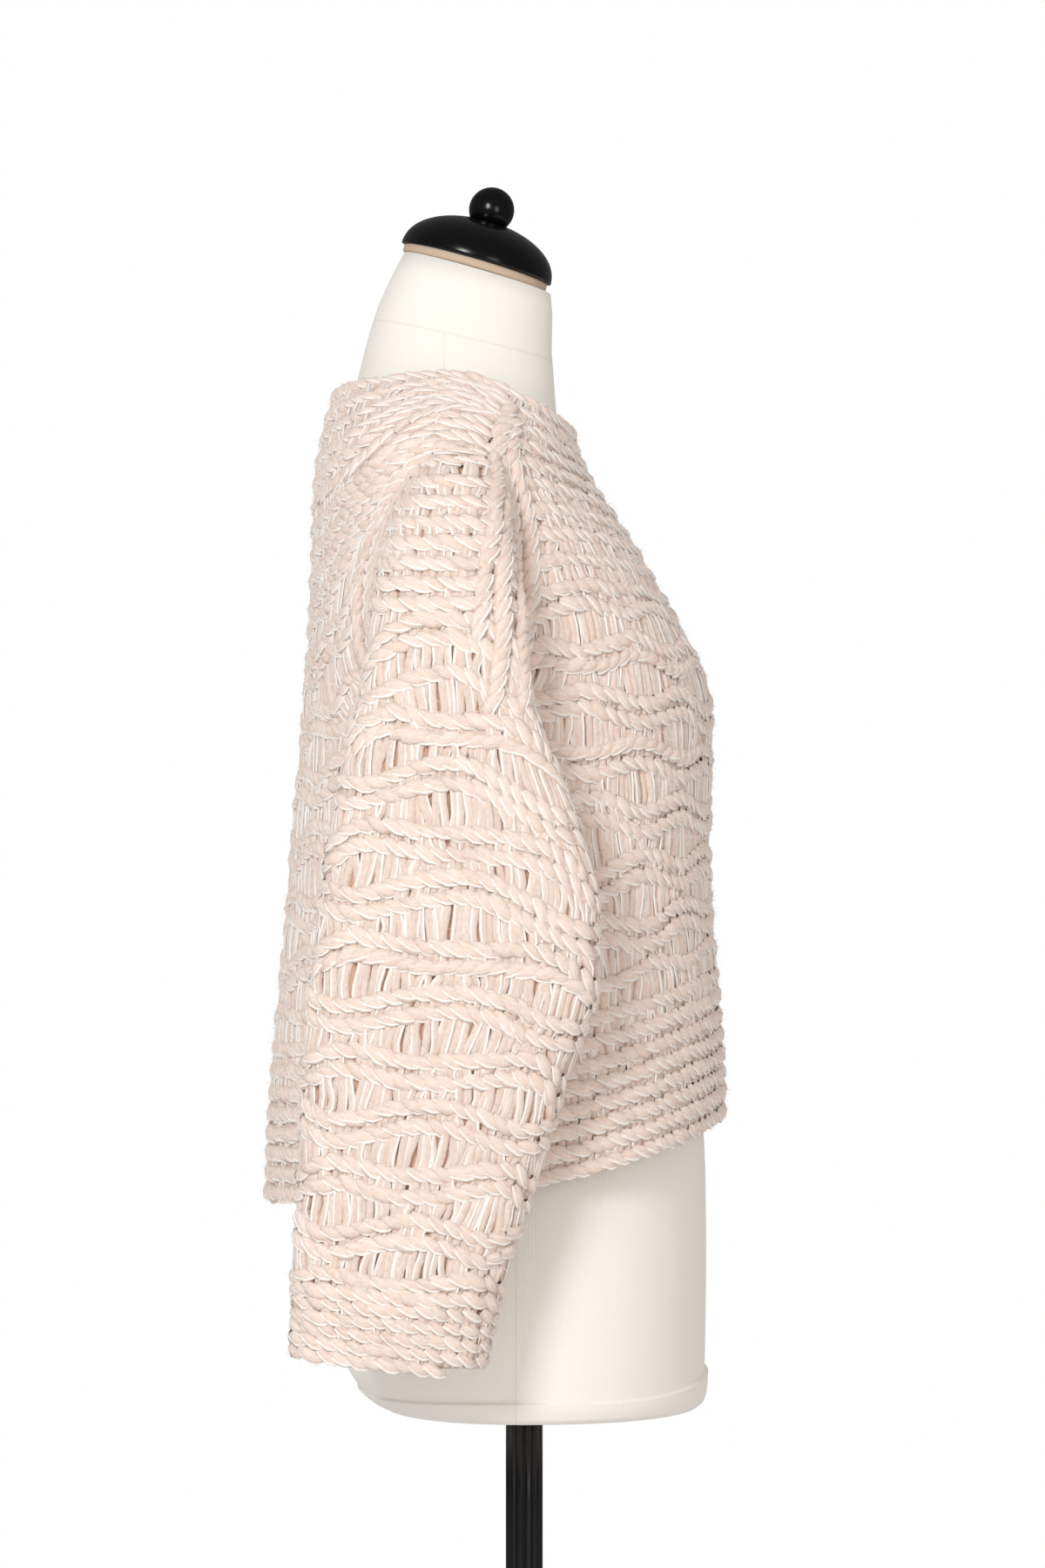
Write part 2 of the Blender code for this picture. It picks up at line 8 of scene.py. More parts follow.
import bpy
import numpy as np
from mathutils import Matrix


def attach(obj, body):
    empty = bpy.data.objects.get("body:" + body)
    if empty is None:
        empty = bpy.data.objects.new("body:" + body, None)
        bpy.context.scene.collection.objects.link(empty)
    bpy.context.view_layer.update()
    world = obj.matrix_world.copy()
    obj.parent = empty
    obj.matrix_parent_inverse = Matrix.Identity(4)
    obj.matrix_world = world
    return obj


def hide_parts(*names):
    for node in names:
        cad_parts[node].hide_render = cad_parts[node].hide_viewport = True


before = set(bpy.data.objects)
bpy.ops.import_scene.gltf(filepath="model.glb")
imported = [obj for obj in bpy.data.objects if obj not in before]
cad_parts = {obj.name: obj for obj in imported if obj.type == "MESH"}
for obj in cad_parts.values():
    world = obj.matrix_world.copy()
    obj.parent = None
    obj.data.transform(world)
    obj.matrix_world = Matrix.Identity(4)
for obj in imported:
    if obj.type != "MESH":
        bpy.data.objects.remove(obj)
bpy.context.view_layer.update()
print("packed model loaded:", len(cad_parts), "nodes")

mm = 0.001
rng = np.random.default_rng(41)
sizeNames = ("halfWidth", "front", "back", "side")  # of a level section of body or form
# Which way a ridge's loops run, which way is up for them, and their slant and width as shares of the usual
levelLook = {"forward": (0, -1, 0), "up": (0, 0, 1)}
upright = {"forward": (0, 0, -1), "up": (0, 1, 0), "slant": -1.25, "width": 0.95}
hanging = {"forward": (0, 0, -1), "up": (0, -1, 0), "slant": 1.2, "width": 0.95}


def smoothCurve(xs, ys):
    # Cubic pieces between the points, level where the slopes change sign, so nothing overshoots
    xs, ys = np.array(xs, float), np.array(ys, float)
    run = np.diff(xs)
    slope = np.diff(ys) / run
    product = slope[:-1] * slope[1:]
    total = np.where(product > 0, slope[:-1] + slope[1:], 1.0)
    tangent = np.concatenate([slope[:1], np.where(product > 0, 2 * product / total, 0.0), slope[-1:]])

    def at(x):
        x = np.clip(np.asarray(x, float), xs[0], xs[-1])
        i = np.clip(np.searchsorted(xs, x, side="right") - 1, 0, len(run) - 1)
        t = (x - xs[i]) / run[i]
        ends = ys[i] * (1 + 2 * t) * (1 - t) ** 2 + ys[i + 1] * t * t * (3 - 2 * t)
        return ends + run[i] * t * (1 - t) * (tangent[i] * (1 - t) - tangent[i + 1] * t)

    return at


def curvesOf(names, rows):
    columns = list(zip(*rows))
    return {name: smoothCurve(columns[0], column) for name, column in zip(names[1:], columns[1:])}


def rounded(value, squareness):
    # A sine or cosine pushed out to a superellipse, sign kept
    return np.sign(value) * np.abs(value) ** (2 / squareness)


def smoothStep(value):
    value = np.clip(value, 0, 1)
    return value * value * (3 - 2 * value)


def unit(vectors):
    return vectors / np.maximum(np.linalg.norm(vectors, axis=-1, keepdims=True), 1e-12)


def facing(vectors, aim):
    # The same vectors, each turned about where it points away from the aim
    return vectors * np.sign((vectors * aim).sum(-1, keepdims=True) + 1e-9)


sweater = {
    "squareness": 2.3,
    "plainRows": (np.linspace(0.6, 15.0, 8), np.linspace(47.8, 63.3, 9)),  # of the hem, and of the chest
    "pattern": (16, 44),
    "waves": 5.5,  # lens columns across a panel
    "underarm": 36,
    "shoulder": 52,
    "neckline": 64,
    "bowFront": math.radians(7),
    "bowBack": math.radians(31),
    "bowPower": 0.6,
    "heightPower": 1.35,
    "seamTurn": 0.002,
    "frontSeams": [  # places across and rows down a column beside the right armhole, mirrored for the left
        (upright, (0.955, 0.955, 0.96, 0.965, 0.97, 0.97, 0.97), (60, 57, 52, 48, 44, 40, 36)),
        (upright, (0.90, 0.895, 0.895, 0.90, 0.905, 0.91, 0.92), (58, 55, 52, 48, 44, 40, 36)),
    ],
    "backSeams": [
        (hanging, (-0.96, -0.97, -0.97, -0.97, -0.97, -0.97), (51.5, 49, 46, 43, 40, 37)),
        (hanging, (-0.90, -0.89, -0.885, -0.88, -0.88, -0.89), (51.0, 49, 46, 43, 40, 37)),
    ],
    "frontDrop": smoothCurve((30, 36, 44, 52, 56, 60, 64), (0, 1.4, 3.6, 4.2, 3.0, 1.0, 0)),
    "backClimb": {"rows": 5.5, "from": 34, "over": 12, "gone": 64.3, "fade": 16, "across": 0.4},
    "at": curvesOf(
        ("height", *sizeNames),
        [
            (885, 197, -122, 163, 18), (950, 196, -124, 160, 18), (1005, 194.5, -122, 156, 19),
            (1060, 193, -117.5, 150.5, 21), (1120, 191, -114, 145.5, 26), (1170, 190, -115, 141, 33),
            (1214, 190, -116, 137.5, 40), (1240, 190, -109.5, 135.5, 43), (1262, 190, -99, 134, 45),
            (1290, 190, -83.5, 132.5, 46), (1318, 190, -67, 131.5, 47), (1342, 189.5, -51.5, 131, 48),
            (1365, 188, -36.5, 129.8, 49), (1382, 181.5, -28.5, 127.5, 50), (1392, 170, -25.8, 125.5, 50),
            (1403, 150, -24, 123, 50), (1414, 125, -23.2, 120.5, 50), (1424, 101, -22.6, 117.5, 50),
            (1434, 80, -22.4, 114.5, 50),
        ],
    ),
    "rowAt": curvesOf(
        ("row", "front", "side", "back"),
        [
            (0, 951, 913, 897), (16, 1050, 1019, 1002), (36, 1205, 1222, 1192), (52, 1332, 1381, 1336),
            (64, 1400, 1428.5, 1426),
        ],
    ),
    "lean": smoothCurve((0, 36, 52, 64), (0, 0, 14, 30)),
}

sleeve = {
    "seams": [  # the turns and rows down each seam column
        (upright, (0.0, 0.035, 0.065, 0.08, 0.08, 0.075, 0.07, 0.06), (0.6, 3, 6, 8, 10, 12, 14, 17)),
        (upright, (0.05, 0.09, 0.11, 0.12, 0.12, 0.12, 0.10, 0.07), (0.6, 3, 6, 9, 12, 15, 19, 22)),
        (upright, (0.12, 0.17, 0.20, 0.205, 0.20, 0.19, 0.18, 0.15), (0.6, 1.5, 4, 7, 10, 13, 17, 21)),
        (hanging, (-0.05, -0.09, -0.13, -0.17, -0.20, -0.22, -0.23), (0.6, 1.2, 1.9, 3, 6, 9, 12)),
    ],
    "frontDip": smoothCurve((15, 20, 27, 34, 44, 56, 62), (0.5, 1.6, 3.2, 3.2, 1.6, 0.5, 0)),
    "squareness": 2.4,
    "plainRows": ([15.7, 17.1], np.linspace(65.2, 71.4, 5)),  # above the pattern, and of the cuff
    "pattern": (18, 62),
    "waves": 4,
    "cuffSize": 0.84,
    "cuffEdge": 72,
    "cuffDrop": {"rows": 1.3, "from": 56},  # the cuff's edge hangs lower in front
    "head": {  # plain level ridges, then legs down to the first ring
        "heights": np.linspace(1366, 1279, 8), "reach": 0.34, "leastRow": 0.7, "ends": (-0.27, 0.27),
    },
    "under": {"rows": np.arange(0.8, 15.0, 1.5), "ends": (0.27, 0.73)},  # rings go on up to the armhole
    "edge": {"rows": [-0.1, 0.9], "ends": (-0.3, 0.3), "size": 0.9},  # along the armhole seam
    "start": 0.5 * mm,
    "settleRows": 14,
    "at": curvesOf(
        ("row", "overX", "overZ", "underX", "underZ", "front", "back"),
        [
            (0, 176, 1381, 188, 1222, 8, 86), (3, 201, 1370, 201, 1220, 8, 86),
            (6, 223, 1352, 208, 1216, 8, 87), (9, 239, 1329, 213, 1210, 8, 88),
            (12, 250, 1303, 216, 1203, 7, 90), (18, 260, 1250, 218, 1185, 3, 95),
            (24, 264, 1197, 218.5, 1160, -12, 105), (30, 266, 1144, 219, 1121, -29, 114),
            (36, 266.5, 1091, 219, 1078, -40, 121), (41, 266, 1047, 219, 1038, -39, 126),
            (48, 264.5, 985, 218.5, 981, -19, 131), (55, 262, 923, 218, 921, -1, 134),
            (62, 259, 862, 217.5, 861, 19, 137), (72, 256, 804, 217, 804, 31, 139),
        ],
    ),
}


def section(turn, halfWidth, front, back, side, squareness):
    # x is the half width times the sine, y the depth to front or back times the cosine, both rounded
    x = -halfWidth * rounded(np.sin(turn), squareness)
    depth = np.where(np.cos(turn) > 0, side - front, back - side)
    return x, side - depth * rounded(np.cos(turn), squareness)


def bodyPlace(turn, row):
    # Inside of the sweater's body: the row's height runs from the side to the middle, then the section there
    turn, row = np.broadcast_arrays(np.asarray(turn, float), np.asarray(row, float))
    heightAt = sweater["rowAt"]
    middle = np.where(np.cos(turn) > 0, heightAt["front"](row), heightAt["back"](row))
    side = heightAt["side"](row)
    height = side + (middle - side) * np.abs(np.cos(turn)) ** sweater["heightPower"]
    sizes = [sweater["at"][name](height) for name in sizeNames]
    x, y = section(turn, *sizes, sweater["squareness"])
    return np.stack([x, y, height], axis=-1) * mm


def seamTurn(row, bow):
    # A panel's edge: the side line, leaning forward over the shoulder, bowed along the armhole
    span = sweater["shoulder"] - sweater["underarm"]
    share = np.clip((np.asarray(row, float) - sweater["underarm"]) / span, 0, 1)
    lean = np.radians(sweater["lean"](row))
    return math.pi / 2 - lean + bow * np.sin(math.pi * share) ** sweater["bowPower"]


def frontPlace(across, row):
    half = seamTurn(row, -sweater["bowFront"]) - sweater["seamTurn"]
    return bodyPlace(across * half, row)


def backPlace(across, row):
    half = math.pi - seamTurn(row, sweater["bowBack"]) - sweater["seamTurn"]
    return bodyPlace(math.pi + across * half, row)


def sleeveRing(angle, row):
    # Round the sleeve's hollow: from its outer line through its front to its under line
    at = sleeve["at"]
    over = np.stack([-at["overX"](row), at["overZ"](row)], axis=-1)
    under = np.stack([-at["underX"](row), at["underZ"](row)], axis=-1)
    centre = (over + under) / 2 + (over - under) / 2 * rounded(np.cos(angle), sleeve["squareness"])[..., None]
    front, back = at["front"](row), at["back"](row)
    y = (front + back) / 2 - (back - front) / 2 * rounded(np.sin(angle), sleeve["squareness"])
    return np.stack([centre[..., 0], y, centre[..., 1]], axis=-1) * mm


def armholeEdge(angle):
    # The armhole at each angle of the sleeve: down the front panel's edge, then up the back panel's
    share = np.mod(angle, 2 * math.pi) / math.pi
    span = sweater["shoulder"] - sweater["underarm"]
    down, back = sweater["shoulder"] - span * share, sweater["underarm"] + span * (share - 1)
    row = np.where(share < 1, down, back)
    bow = np.where(share < 1, -sweater["bowFront"], sweater["bowBack"])
    return bodyPlace(seamTurn(row, bow), row) - np.array([sleeve["start"], 0, 0])


def rightSleevePlace(turnShare, row):
    # The ring, drawn over to the armhole's own shape by a share that fades down the sleeve
    turnShare, row = np.broadcast_arrays(np.asarray(turnShare, float), np.asarray(row, float))
    angle = 2 * math.pi * turnShare
    shift = armholeEdge(angle) - sleeveRing(angle, 0 * row)
    drop = sleeve["cuffDrop"]
    lowered = smoothStep((row - drop["from"]) / (sleeve["cuffEdge"] - drop["from"]))
    row = row + drop["rows"] * np.sin(angle) * lowered
    return sleeveRing(angle, row) + shift * (1 - smoothStep(row / sleeve["settleRows"]))[..., None]


def leftSleevePlace(turnShare, row):
    return rightSleevePlace(turnShare, row) * (-1, 1, 1)


def pointAndNormal(place, side, u, row):
    # A point of the cloth's inside and its outward normal, from small steps each way
    stepU, stepRow = 1e-4, 2e-2
    across = place(u + stepU, row) - place(u - stepU, row)
    rows = place(u, row + stepRow) - place(u, row - stepRow)
    return place(u, row), unit(np.cross(rows, across)) * side


def joined(chunks, key):
    return np.concatenate([chunk[key] for chunk in chunks])


def meshFrom(name, chunks, material):
    # One object from arrays of points, four-sided or three-sided faces, UV and tone
    points = joined(chunks, "points")
    starts = np.cumsum([0] + [len(c["points"]) for c in chunks[:-1]])
    mesh = bpy.data.meshes.new(name)
    mesh.vertices.add(len(points))
    mesh.vertices.foreach_set("co", points.astype(np.float32).ravel())
    groups = [(faces, s) for c, s in zip(chunks, starts) for faces in [c["faces"], *c.get("more", [])]]
    sizes = np.concatenate([np.full(len(faces), faces.shape[1]) for faces, s in groups])
    corners = np.concatenate([(faces + s).ravel() for faces, s in groups])
    mesh.loops.add(len(corners))
    mesh.loops.foreach_set("vertex_index", corners.astype(np.int32))
    mesh.polygons.add(len(sizes))
    mesh.polygons.foreach_set("loop_start", (np.cumsum(sizes) - sizes).astype(np.int32))
    mesh.polygons.foreach_set("use_smooth", np.ones(len(sizes), bool))
    mesh.update(calc_edges=True)
    layer = mesh.uv_layers.new(name="UVMap")
    layer.data.foreach_set("uv", joined(chunks, "uv")[corners].astype(np.float32).ravel())
    tone = mesh.attributes.new("tone", "FLOAT", "POINT")
    tone.data.foreach_set("value", joined(chunks, "tone").astype(np.float32))
    mesh.materials.append(material)
    thing = bpy.data.objects.new(name, mesh)
    bpy.context.scene.collection.objects.link(thing)
    return thing


def gridFaces(rows, columns, wrapRows=False, wrapColumns=False):
    index = np.arange(rows * columns).reshape(rows, columns)
    if wrapRows:
        index = np.concatenate([index, index[:1]])
    if wrapColumns:
        index = np.concatenate([index, index[:, :1]], axis=1)
    return np.stack([index[:-1, :-1], index[:-1, 1:], index[1:, 1:], index[1:, :-1]], axis=-1).reshape(-1, 4)


knit = {
    "stitch": 9.4 * mm,  # from one stitch to the next along a ridge
    "stitchScatter": 0.05, "sizeScatter": 0.09, "toneScatter": 0.5, "uvGirth": 0.016,
    "threadRadius": 0.88 * mm, "threadFaces": 2, "threadSpread": math.radians(100),
    "bandRows": 4, "lensLeast": 0.32, "lensSwing": 0.95,
    "ridgeShares": (0.2, 0.8),  # of the way between two lenses
    "ridgeLevels": (0.6, 1.5),  # rows above the band's foot at a panel's edge, where the ridges are level
    "edgePower": 8, "firstRidge": 0.3, "closingRow": 2.3, "waver": 0.10,
    "slantShare": 0.94,  # of the ridges slant one way, and the others back
    "backSlant": -0.8,
    "seamLift": 2.2 * mm,
}

loop = {  # a loop lying in a ridge
    "length": 1.9,  # in stitches
    "halfWidth": 4.7 * mm, "halfDepth": 3.2 * mm,
    "out": 5.7 * mm,  # of its middle from the cloth's inside
    "rise": 3.3 * mm,  # either way, from its high end to its low end
    "start": 0.5 * mm,  # outwards at its high end
    "tuck": 2.6 * mm,  # inwards at its low end
    "curl": (1.0 * mm, 2.2 * mm), "arch": 0.9 * mm,
    "tip": 0.26,  # its thickness at the ends, as a share of the middle's
    "stations": 6, "faces": 4, "spread": math.radians(125), "threadStations": [0, 1, 3, 4, 5],
    "slantScatter": 0.15, "liftScatter": 0.3 * mm, "edgeScatter": 0.14,
    "threadEdge": -0.72,  # where the thread lies across the loop, from -1 to 1
    "edgeLimits": (-0.97, 0.3), "threadSunk": 0.96, "threadLean": 0.4 * mm, "threadShare": 0.93,
}

leg = {  # one of a stitch's two legs between ridges
    "halfWidth": 3.05 * mm, "out": 3.9 * mm,
    "highHalf": 1.95 * mm,  # from the stitch's middle, at the upper ridge
    "lowHalf": 2.35 * mm,
    "placeScatter": 0.35 * mm, "bowScatter": 0.45 * mm,
    "longest": 13.5 * mm,  # from ridge to ridge, past which a leg is a long one
    "threadSides": [-0.85, 0.85, 0.5, -0.5],
}
longLeg = {
    "stations": 6, "faces": 4, "spread": math.radians(115), "threadStations": [0, 1, 3, 4, 5],
    "drift": 1.0, "bow": 1.0, "sway": 0.5 * mm, "twist": 0.75 * mm, "bulge": 1.5 * mm, "sunk": 0.0,
    "tone": 0.2, "threadShare": 0.9, "threadSize": 0.88,
}
shortLeg = {
    "stations": 3, "faces": 3, "spread": math.radians(95), "threadStations": [0, 1, 2],
    "drift": 0.3, "bow": 0.2, "sway": 0.1 * mm, "twist": 0.1 * mm, "bulge": 0.6 * mm, "sunk": 0.4 * mm,
    "tone": -0.1, "threadShare": 0.4, "threadSize": 0.8,
}


def lengthsOf(points):
    # Length from a line's first point to each of its points
    steps = np.linalg.norm(np.diff(points, axis=-2), axis=-1)
    return np.concatenate([0 * steps[..., :1], np.cumsum(steps, axis=-1)], axis=-1)


def strands(points, outward, halfWidth, halfDepth, tone, faces, spread):
    # Many short tubes at once, open at the back: each ring is side * sin + out * cos over the spread
    count, stations = points.shape[:2]
    tangent = unit(np.gradient(points, axis=1))
    side = unit(np.cross(np.broadcast_to(outward, points.shape), tangent))
    out = np.cross(tangent, side)
    angle = np.linspace(-spread, spread, faces + 1)
    ring = (
        points[:, :, None]
        + side[:, :, None] * (halfWidth[..., None] * np.sin(angle))[..., None]
        + out[:, :, None] * (halfDepth[..., None] * np.cos(angle))[..., None]
    )
    index = np.arange(count * stations * (faces + 1)).reshape(count, stations, faces + 1)
    quads = np.stack([index[:, :-1, :-1], index[:, 1:, :-1], index[:, 1:, 1:], index[:, :-1, 1:]], axis=-1)
    start = rng.uniform(0, 1, (count, 1))
    along = np.broadcast_to((lengthsOf(points) + start)[..., None], ring.shape[:3])
    girth = angle / (2 * math.pi) * knit["uvGirth"] + np.zeros(ring.shape[:3]) + start[..., None]
    normals = side[:, :, None] * np.sin(angle)[:, None] + out[:, :, None] * np.cos(angle)[:, None]
    return {
        "points": ring.reshape(-1, 3),
        "faces": quads.reshape(-1, 4),
        "uv": np.stack([along, girth], axis=-1).reshape(-1, 2),
        "tone": np.broadcast_to(tone[:, None, None], ring.shape[:3]).reshape(-1),
        "normals": normals.reshape(-1, 3),
    }


def lensHalf(band, phase):
    # Half height of the long loops, in rows: widest at every second column, turned about from band to band
    return knit["lensLeast"] + knit["lensSwing"] * (0.5 + 0.5 * np.cos(phase + math.pi * band))


def patternRidges(first, last, waves, closed):
    # Two ridges to a band, bent round the lenses below and above them, and two that close the last lens
    ridges = []
    bands = (last - first) // knit["bandRows"]
    for band in range(bands + 1):
        for share in knit["ridgeShares"]:
            if band == 0 and share < 0.5:
                continue

            def row(u, band=band, share=share):
                phase = 2 * math.pi * waves * (u if closed else u / 2)
                base = first + knit["bandRows"] * band
                flat = base + 0 * u
                below = flat - 1 + lensHalf(band - 1, phase) if band else flat + knit["firstRidge"]
                above = flat + 3 - lensHalf(band, phase) if band < bands else flat + knit["closingRow"]
                placed = below + share * (above - below)
                level = base + knit["ridgeLevels"][0 if share < 0.5 else 1]
                keep = 1 if closed else 1 - np.abs(np.clip(u, -1, 1)) ** knit["edgePower"]
                return level + (placed - level) * keep

            ridges.append(row)
    return ridges


def levelRidges(rows):
    return [lambda u, value=value: value + 0.0 * u for value in rows]


def wobble(seed, scale):
    # A slow waver along a ridge, from three sines with seeded phases
    draw = np.random.default_rng(seed)
    phases, pace = draw.uniform(0, 2 * math.pi, 3), draw.uniform(2, 9, 3)
    return lambda u: scale * sum(np.sin(2 * math.pi * p * u + q) for p, q in zip(pace, phases)) / 3


def alongCurve(place, curve, start, end, closed):
    # Stitches at even lengths along a curve in the cloth, which gives u and row at each s
    s = np.linspace(start, end, 481)
    path = place(*curve(s))
    length = lengthsOf(path)
    count = max(2, round(length[-1] / knit["stitch"]))
    steps = (np.arange(count) + (0.0 if closed else 0.5)) / count * length[-1]
    steps = steps + rng.normal(0, knit["stitchScatter"], count) * length[-1] / count
    at = np.interp(steps, length, s)
    return at, np.interp(at, s, np.gradient(length, s))


def threadStrands(thread, outward, radius, tones, keep, stations):
    # The thin thread on the kept loops or legs, on fewer stations than the yarn
    outward = np.broadcast_to(outward, thread.shape)[keep][:, stations]
    radius = radius[keep][:, stations]
    path = thread[keep][:, stations]
    return strands(path, outward, radius, radius, tones[keep], knit["threadFaces"], knit["threadSpread"])


def curveLoops(place, side, curve, start, end, closed, look):
    # Loops lying along a curve like a rope's strands. Each starts high, swings down into a hanging
    # arc and tucks under the next, with the thin thread along its lower edge.
    at, _ = alongCurve(place, curve, start, end, closed)
    count = len(at)
    u, row = curve(at)
    point, normal = pointAndNormal(place, side, u, row)
    step = 1e-3
    ridge = unit(place(*curve(at + step)) - place(*curve(at - step)))
    ridge = unit(ridge - normal * (ridge * normal).sum(-1, keepdims=True))
    forward = facing(ridge, look["forward"])
    up = facing(np.cross(normal, forward), look["up"])
    size = look.get("size", 1.0)
    t = np.linspace(0, 1, loop["stations"])
    grow = 1 + rng.normal(0, knit["sizeScatter"], count)
    reach = knit["stitch"] * loop["length"] * grow * size
    rise = loop["rise"] * (look["slant"] + rng.normal(0, loop["slantScatter"], count)) * size
    lift = rng.normal(0, loop["liftScatter"], count) + look.get("lift", 0.0)
    curl = np.sign(rise) * rng.uniform(*loop["curl"], count) * size
    alongAt = (t - 0.5) * reach[:, None]
    upAt = rise[:, None] * np.cos(math.pi * t**0.7) + curl[:, None] * t**4
    bend = (loop["start"] - loop["tuck"] * t**2 + loop["arch"] * np.sin(math.pi * t)) * size
    outAt = (loop["out"] + lift)[:, None] + bend
    centre = (
        point[:, None]
        + forward[:, None] * alongAt[..., None]
        + up[:, None] * upAt[..., None]
        + normal[:, None] * outAt[..., None]
    )
    swell = loop["tip"] + (1 - loop["tip"]) * np.sin(math.pi * (0.04 + 0.88 * t**0.95)) ** 0.7
    width = loop["halfWidth"] * size * look.get("width", 1.0) * swell * grow[:, None]
    depth = loop["halfDepth"] * size * swell * np.ones((count, 1))
    tones = rng.normal(0, knit["toneScatter"], count)
    yarn = strands(centre, normal[:, None], width, depth, tones, loop["faces"], loop["spread"])
    edge = np.clip(rng.normal(loop["threadEdge"], loop["edgeScatter"], count), *loop["edgeLimits"])
    across = facing(unit(np.cross(normal[:, None], unit(np.gradient(centre, axis=1)))), up[:, None])
    rideOut = np.sqrt(np.clip(1 - edge**2, 0.05, 1))[:, None] * depth * loop["threadSunk"]
    thread = centre + across * (width * edge[:, None])[..., None] + normal[:, None] * rideOut[..., None]
    lean = rng.normal(0, loop["threadLean"], (count, 1)) * (2 * t - 1)
    thread = thread + across * lean[..., None]
    radius = knit["threadRadius"] * np.ones((count, 1)) * (0.7 + 0.3 * np.sin(math.pi * t))
    keep = rng.random(count) < loop["threadShare"]
    return yarn, threadStrands(thread, normal[:, None], radius, tones, keep, loop["threadStations"])


def legsBetween(place, side, lowRow, highRow, start, end, closed):
    # Two legs to a stitch between two ridges, side by side, swaying together, with the thin thread
    # beside some. The sway along a ridge is a sum of slow sines of the stitch's number.
    middle = lambda s: (s, 0.5 * (lowRow(s) + highRow(s)))
    if end - start < 0.01:
        return [], []
    u, pace = alongCurve(place, middle, start, end, closed)
    low, high = lowRow(u), highRow(u)
    isLong = np.linalg.norm(place(u, low) - place(u, high), axis=-1) > leg["longest"]
    phase = rng.uniform(0, 2 * math.pi, 2)
    yarn, white = [], []
    for kind, chosen in ((longLeg, isLong), (shortLeg, ~isLong)):
        if not chosen.any():
            continue
        t = np.linspace(0, 1, kind["stations"])
        arch = np.sin(math.pi * t)
        n = int(chosen.sum())
        number = np.arange(len(u))[chosen]
        drift = 1.1 * np.sin(number * 0.4 + phase[0]) + 0.4 * np.sin(number * 1.1 + phase[1])
        drift = drift * mm * kind["drift"]
        bow = 1.5 * mm * np.sin(number * 0.5 + phase[1]) + rng.normal(0, leg["bowScatter"], n)
        for hand in (-1, 1):
            highAt = hand * leg["highHalf"] + rng.normal(0, leg["placeScatter"], n) + drift
            lowAt = hand * leg["lowHalf"] + rng.normal(0, leg["placeScatter"], n) - drift
            sway = bow * kind["bow"] + rng.normal(0, kind["sway"], n)
            twist = rng.normal(0, kind["twist"], n)[:, None] * np.sin(2 * math.pi * t)
            offset = lowAt[:, None] + (highAt - lowAt)[:, None] * t**1.3
            offset = offset + sway[:, None] * arch + twist
            uAt = u[chosen][:, None] + offset / pace[chosen][:, None]
            rowAt = low[chosen][:, None] + (high - low)[chosen][:, None] * t
            point, normal = pointAndNormal(place, side, uAt, rowAt)
            bulge = rng.uniform(0, kind["bulge"], n)[:, None] * arch
            centre = point + normal * (leg["out"] + bulge - kind["sunk"])[..., None]
            halfWidth = leg["halfWidth"] * rng.normal(1, knit["sizeScatter"], n)[:, None] * np.ones(len(t))
            tones = rng.normal(0, knit["toneScatter"], n) + kind["tone"]
            halfDepth = halfWidth * 0.95
            yarn.append(strands(centre, normal, halfWidth, halfDepth, tones, kind["faces"], kind["spread"]))
            keep = rng.random(n) < kind["threadShare"]
            if not keep.any():
                continue
            beside = rng.choice(leg["threadSides"], n)[:, None]
            across = unit(np.cross(normal, unit(np.gradient(centre, axis=1))))
            thread = centre + across * (halfWidth * beside)[..., None]
            thread = thread + normal * (halfWidth * np.sqrt(1 - beside**2))[..., None]
            radius = knit["threadRadius"] * kind["threadSize"] * np.ones((n, len(t)))
            white.append(threadStrands(thread, normal, radius, tones, keep, kind["threadStations"]))
    return yarn, white


fuzz = {  # the fibres that stand off the yarn
    "sleeveCount": 28000,
    "bodyCount": 34000,
    "length": (1.8 * mm, 7.0 * mm),
    "halfWidth": 0.17 * mm,
    "outShare": 0.55, "scatterShare": 0.8,
    "droop": (0, 0, -0.12),
}


def fuzzFrom(chunks, count):
    # Short fibres standing off the yarn: one thin triangle each, leaning at random from its normal
    points = joined(chunks, "points")
    pick = rng.integers(0, len(points), count)
    root, normal = points[pick], joined(chunks, "normals")[pick]
    scatter = unit(rng.normal(0, 1, (count, 3)))
    direction = unit(normal * fuzz["outShare"] + scatter * fuzz["scatterShare"] + fuzz["droop"])
    length = rng.uniform(*fuzz["length"], count)[:, None]
    side = unit(np.cross(direction, rng.normal(0, 1, (count, 3)))) * fuzz["halfWidth"]
    tip = root + direction * length
    return {
        "points": np.stack([root - side, root + side, tip], axis=1).reshape(-1, 3),
        "faces": np.arange(count * 3).reshape(-1, 3),
        "uv": np.zeros((count * 3, 2)),
        "tone": np.repeat(joined(chunks, "tone")[pick], 3),
    }


def setInputs(tree, node, inputs):
    # Each input is linked from another node's output or set to a value
    for key, value in inputs.items():
        if isinstance(value, bpy.types.NodeSocket):
            tree.links.new(value, node.inputs[key])
        else:
            node.inputs[key].default_value = value


def addNode(tree, kind, inputs={}, **settings):
    node = tree.nodes.new("ShaderNode" + kind)
    for key, value in settings.items():
        setattr(node, key, value)
    setInputs(tree, node, inputs)
    return node.outputs


def mathNode(tree, operation, *values):
    return addNode(tree, "Math", dict(enumerate(values)), operation=operation)["Value"]


def mixNode(tree, share, first, second):
    return addNode(tree, "Mix", {"Factor": share, "A": first, "B": second}, data_type="RGBA")["Result"]


def rangeNode(tree, value, low, high, toLow=0.0, toHigh=1.0):
    limits = {"From Min": low, "From Max": high, "To Min": toLow, "To Max": toHigh}
    return addNode(tree, "MapRange", {"Value": value, **limits})["Result"]


def noiseNode(tree, vector, scale, detail, roughness=0.5):
    look = {"Vector": vector, "Scale": scale, "Detail": detail, "Roughness": roughness}
    return addNode(tree, "TexNoise", look)["Fac"]


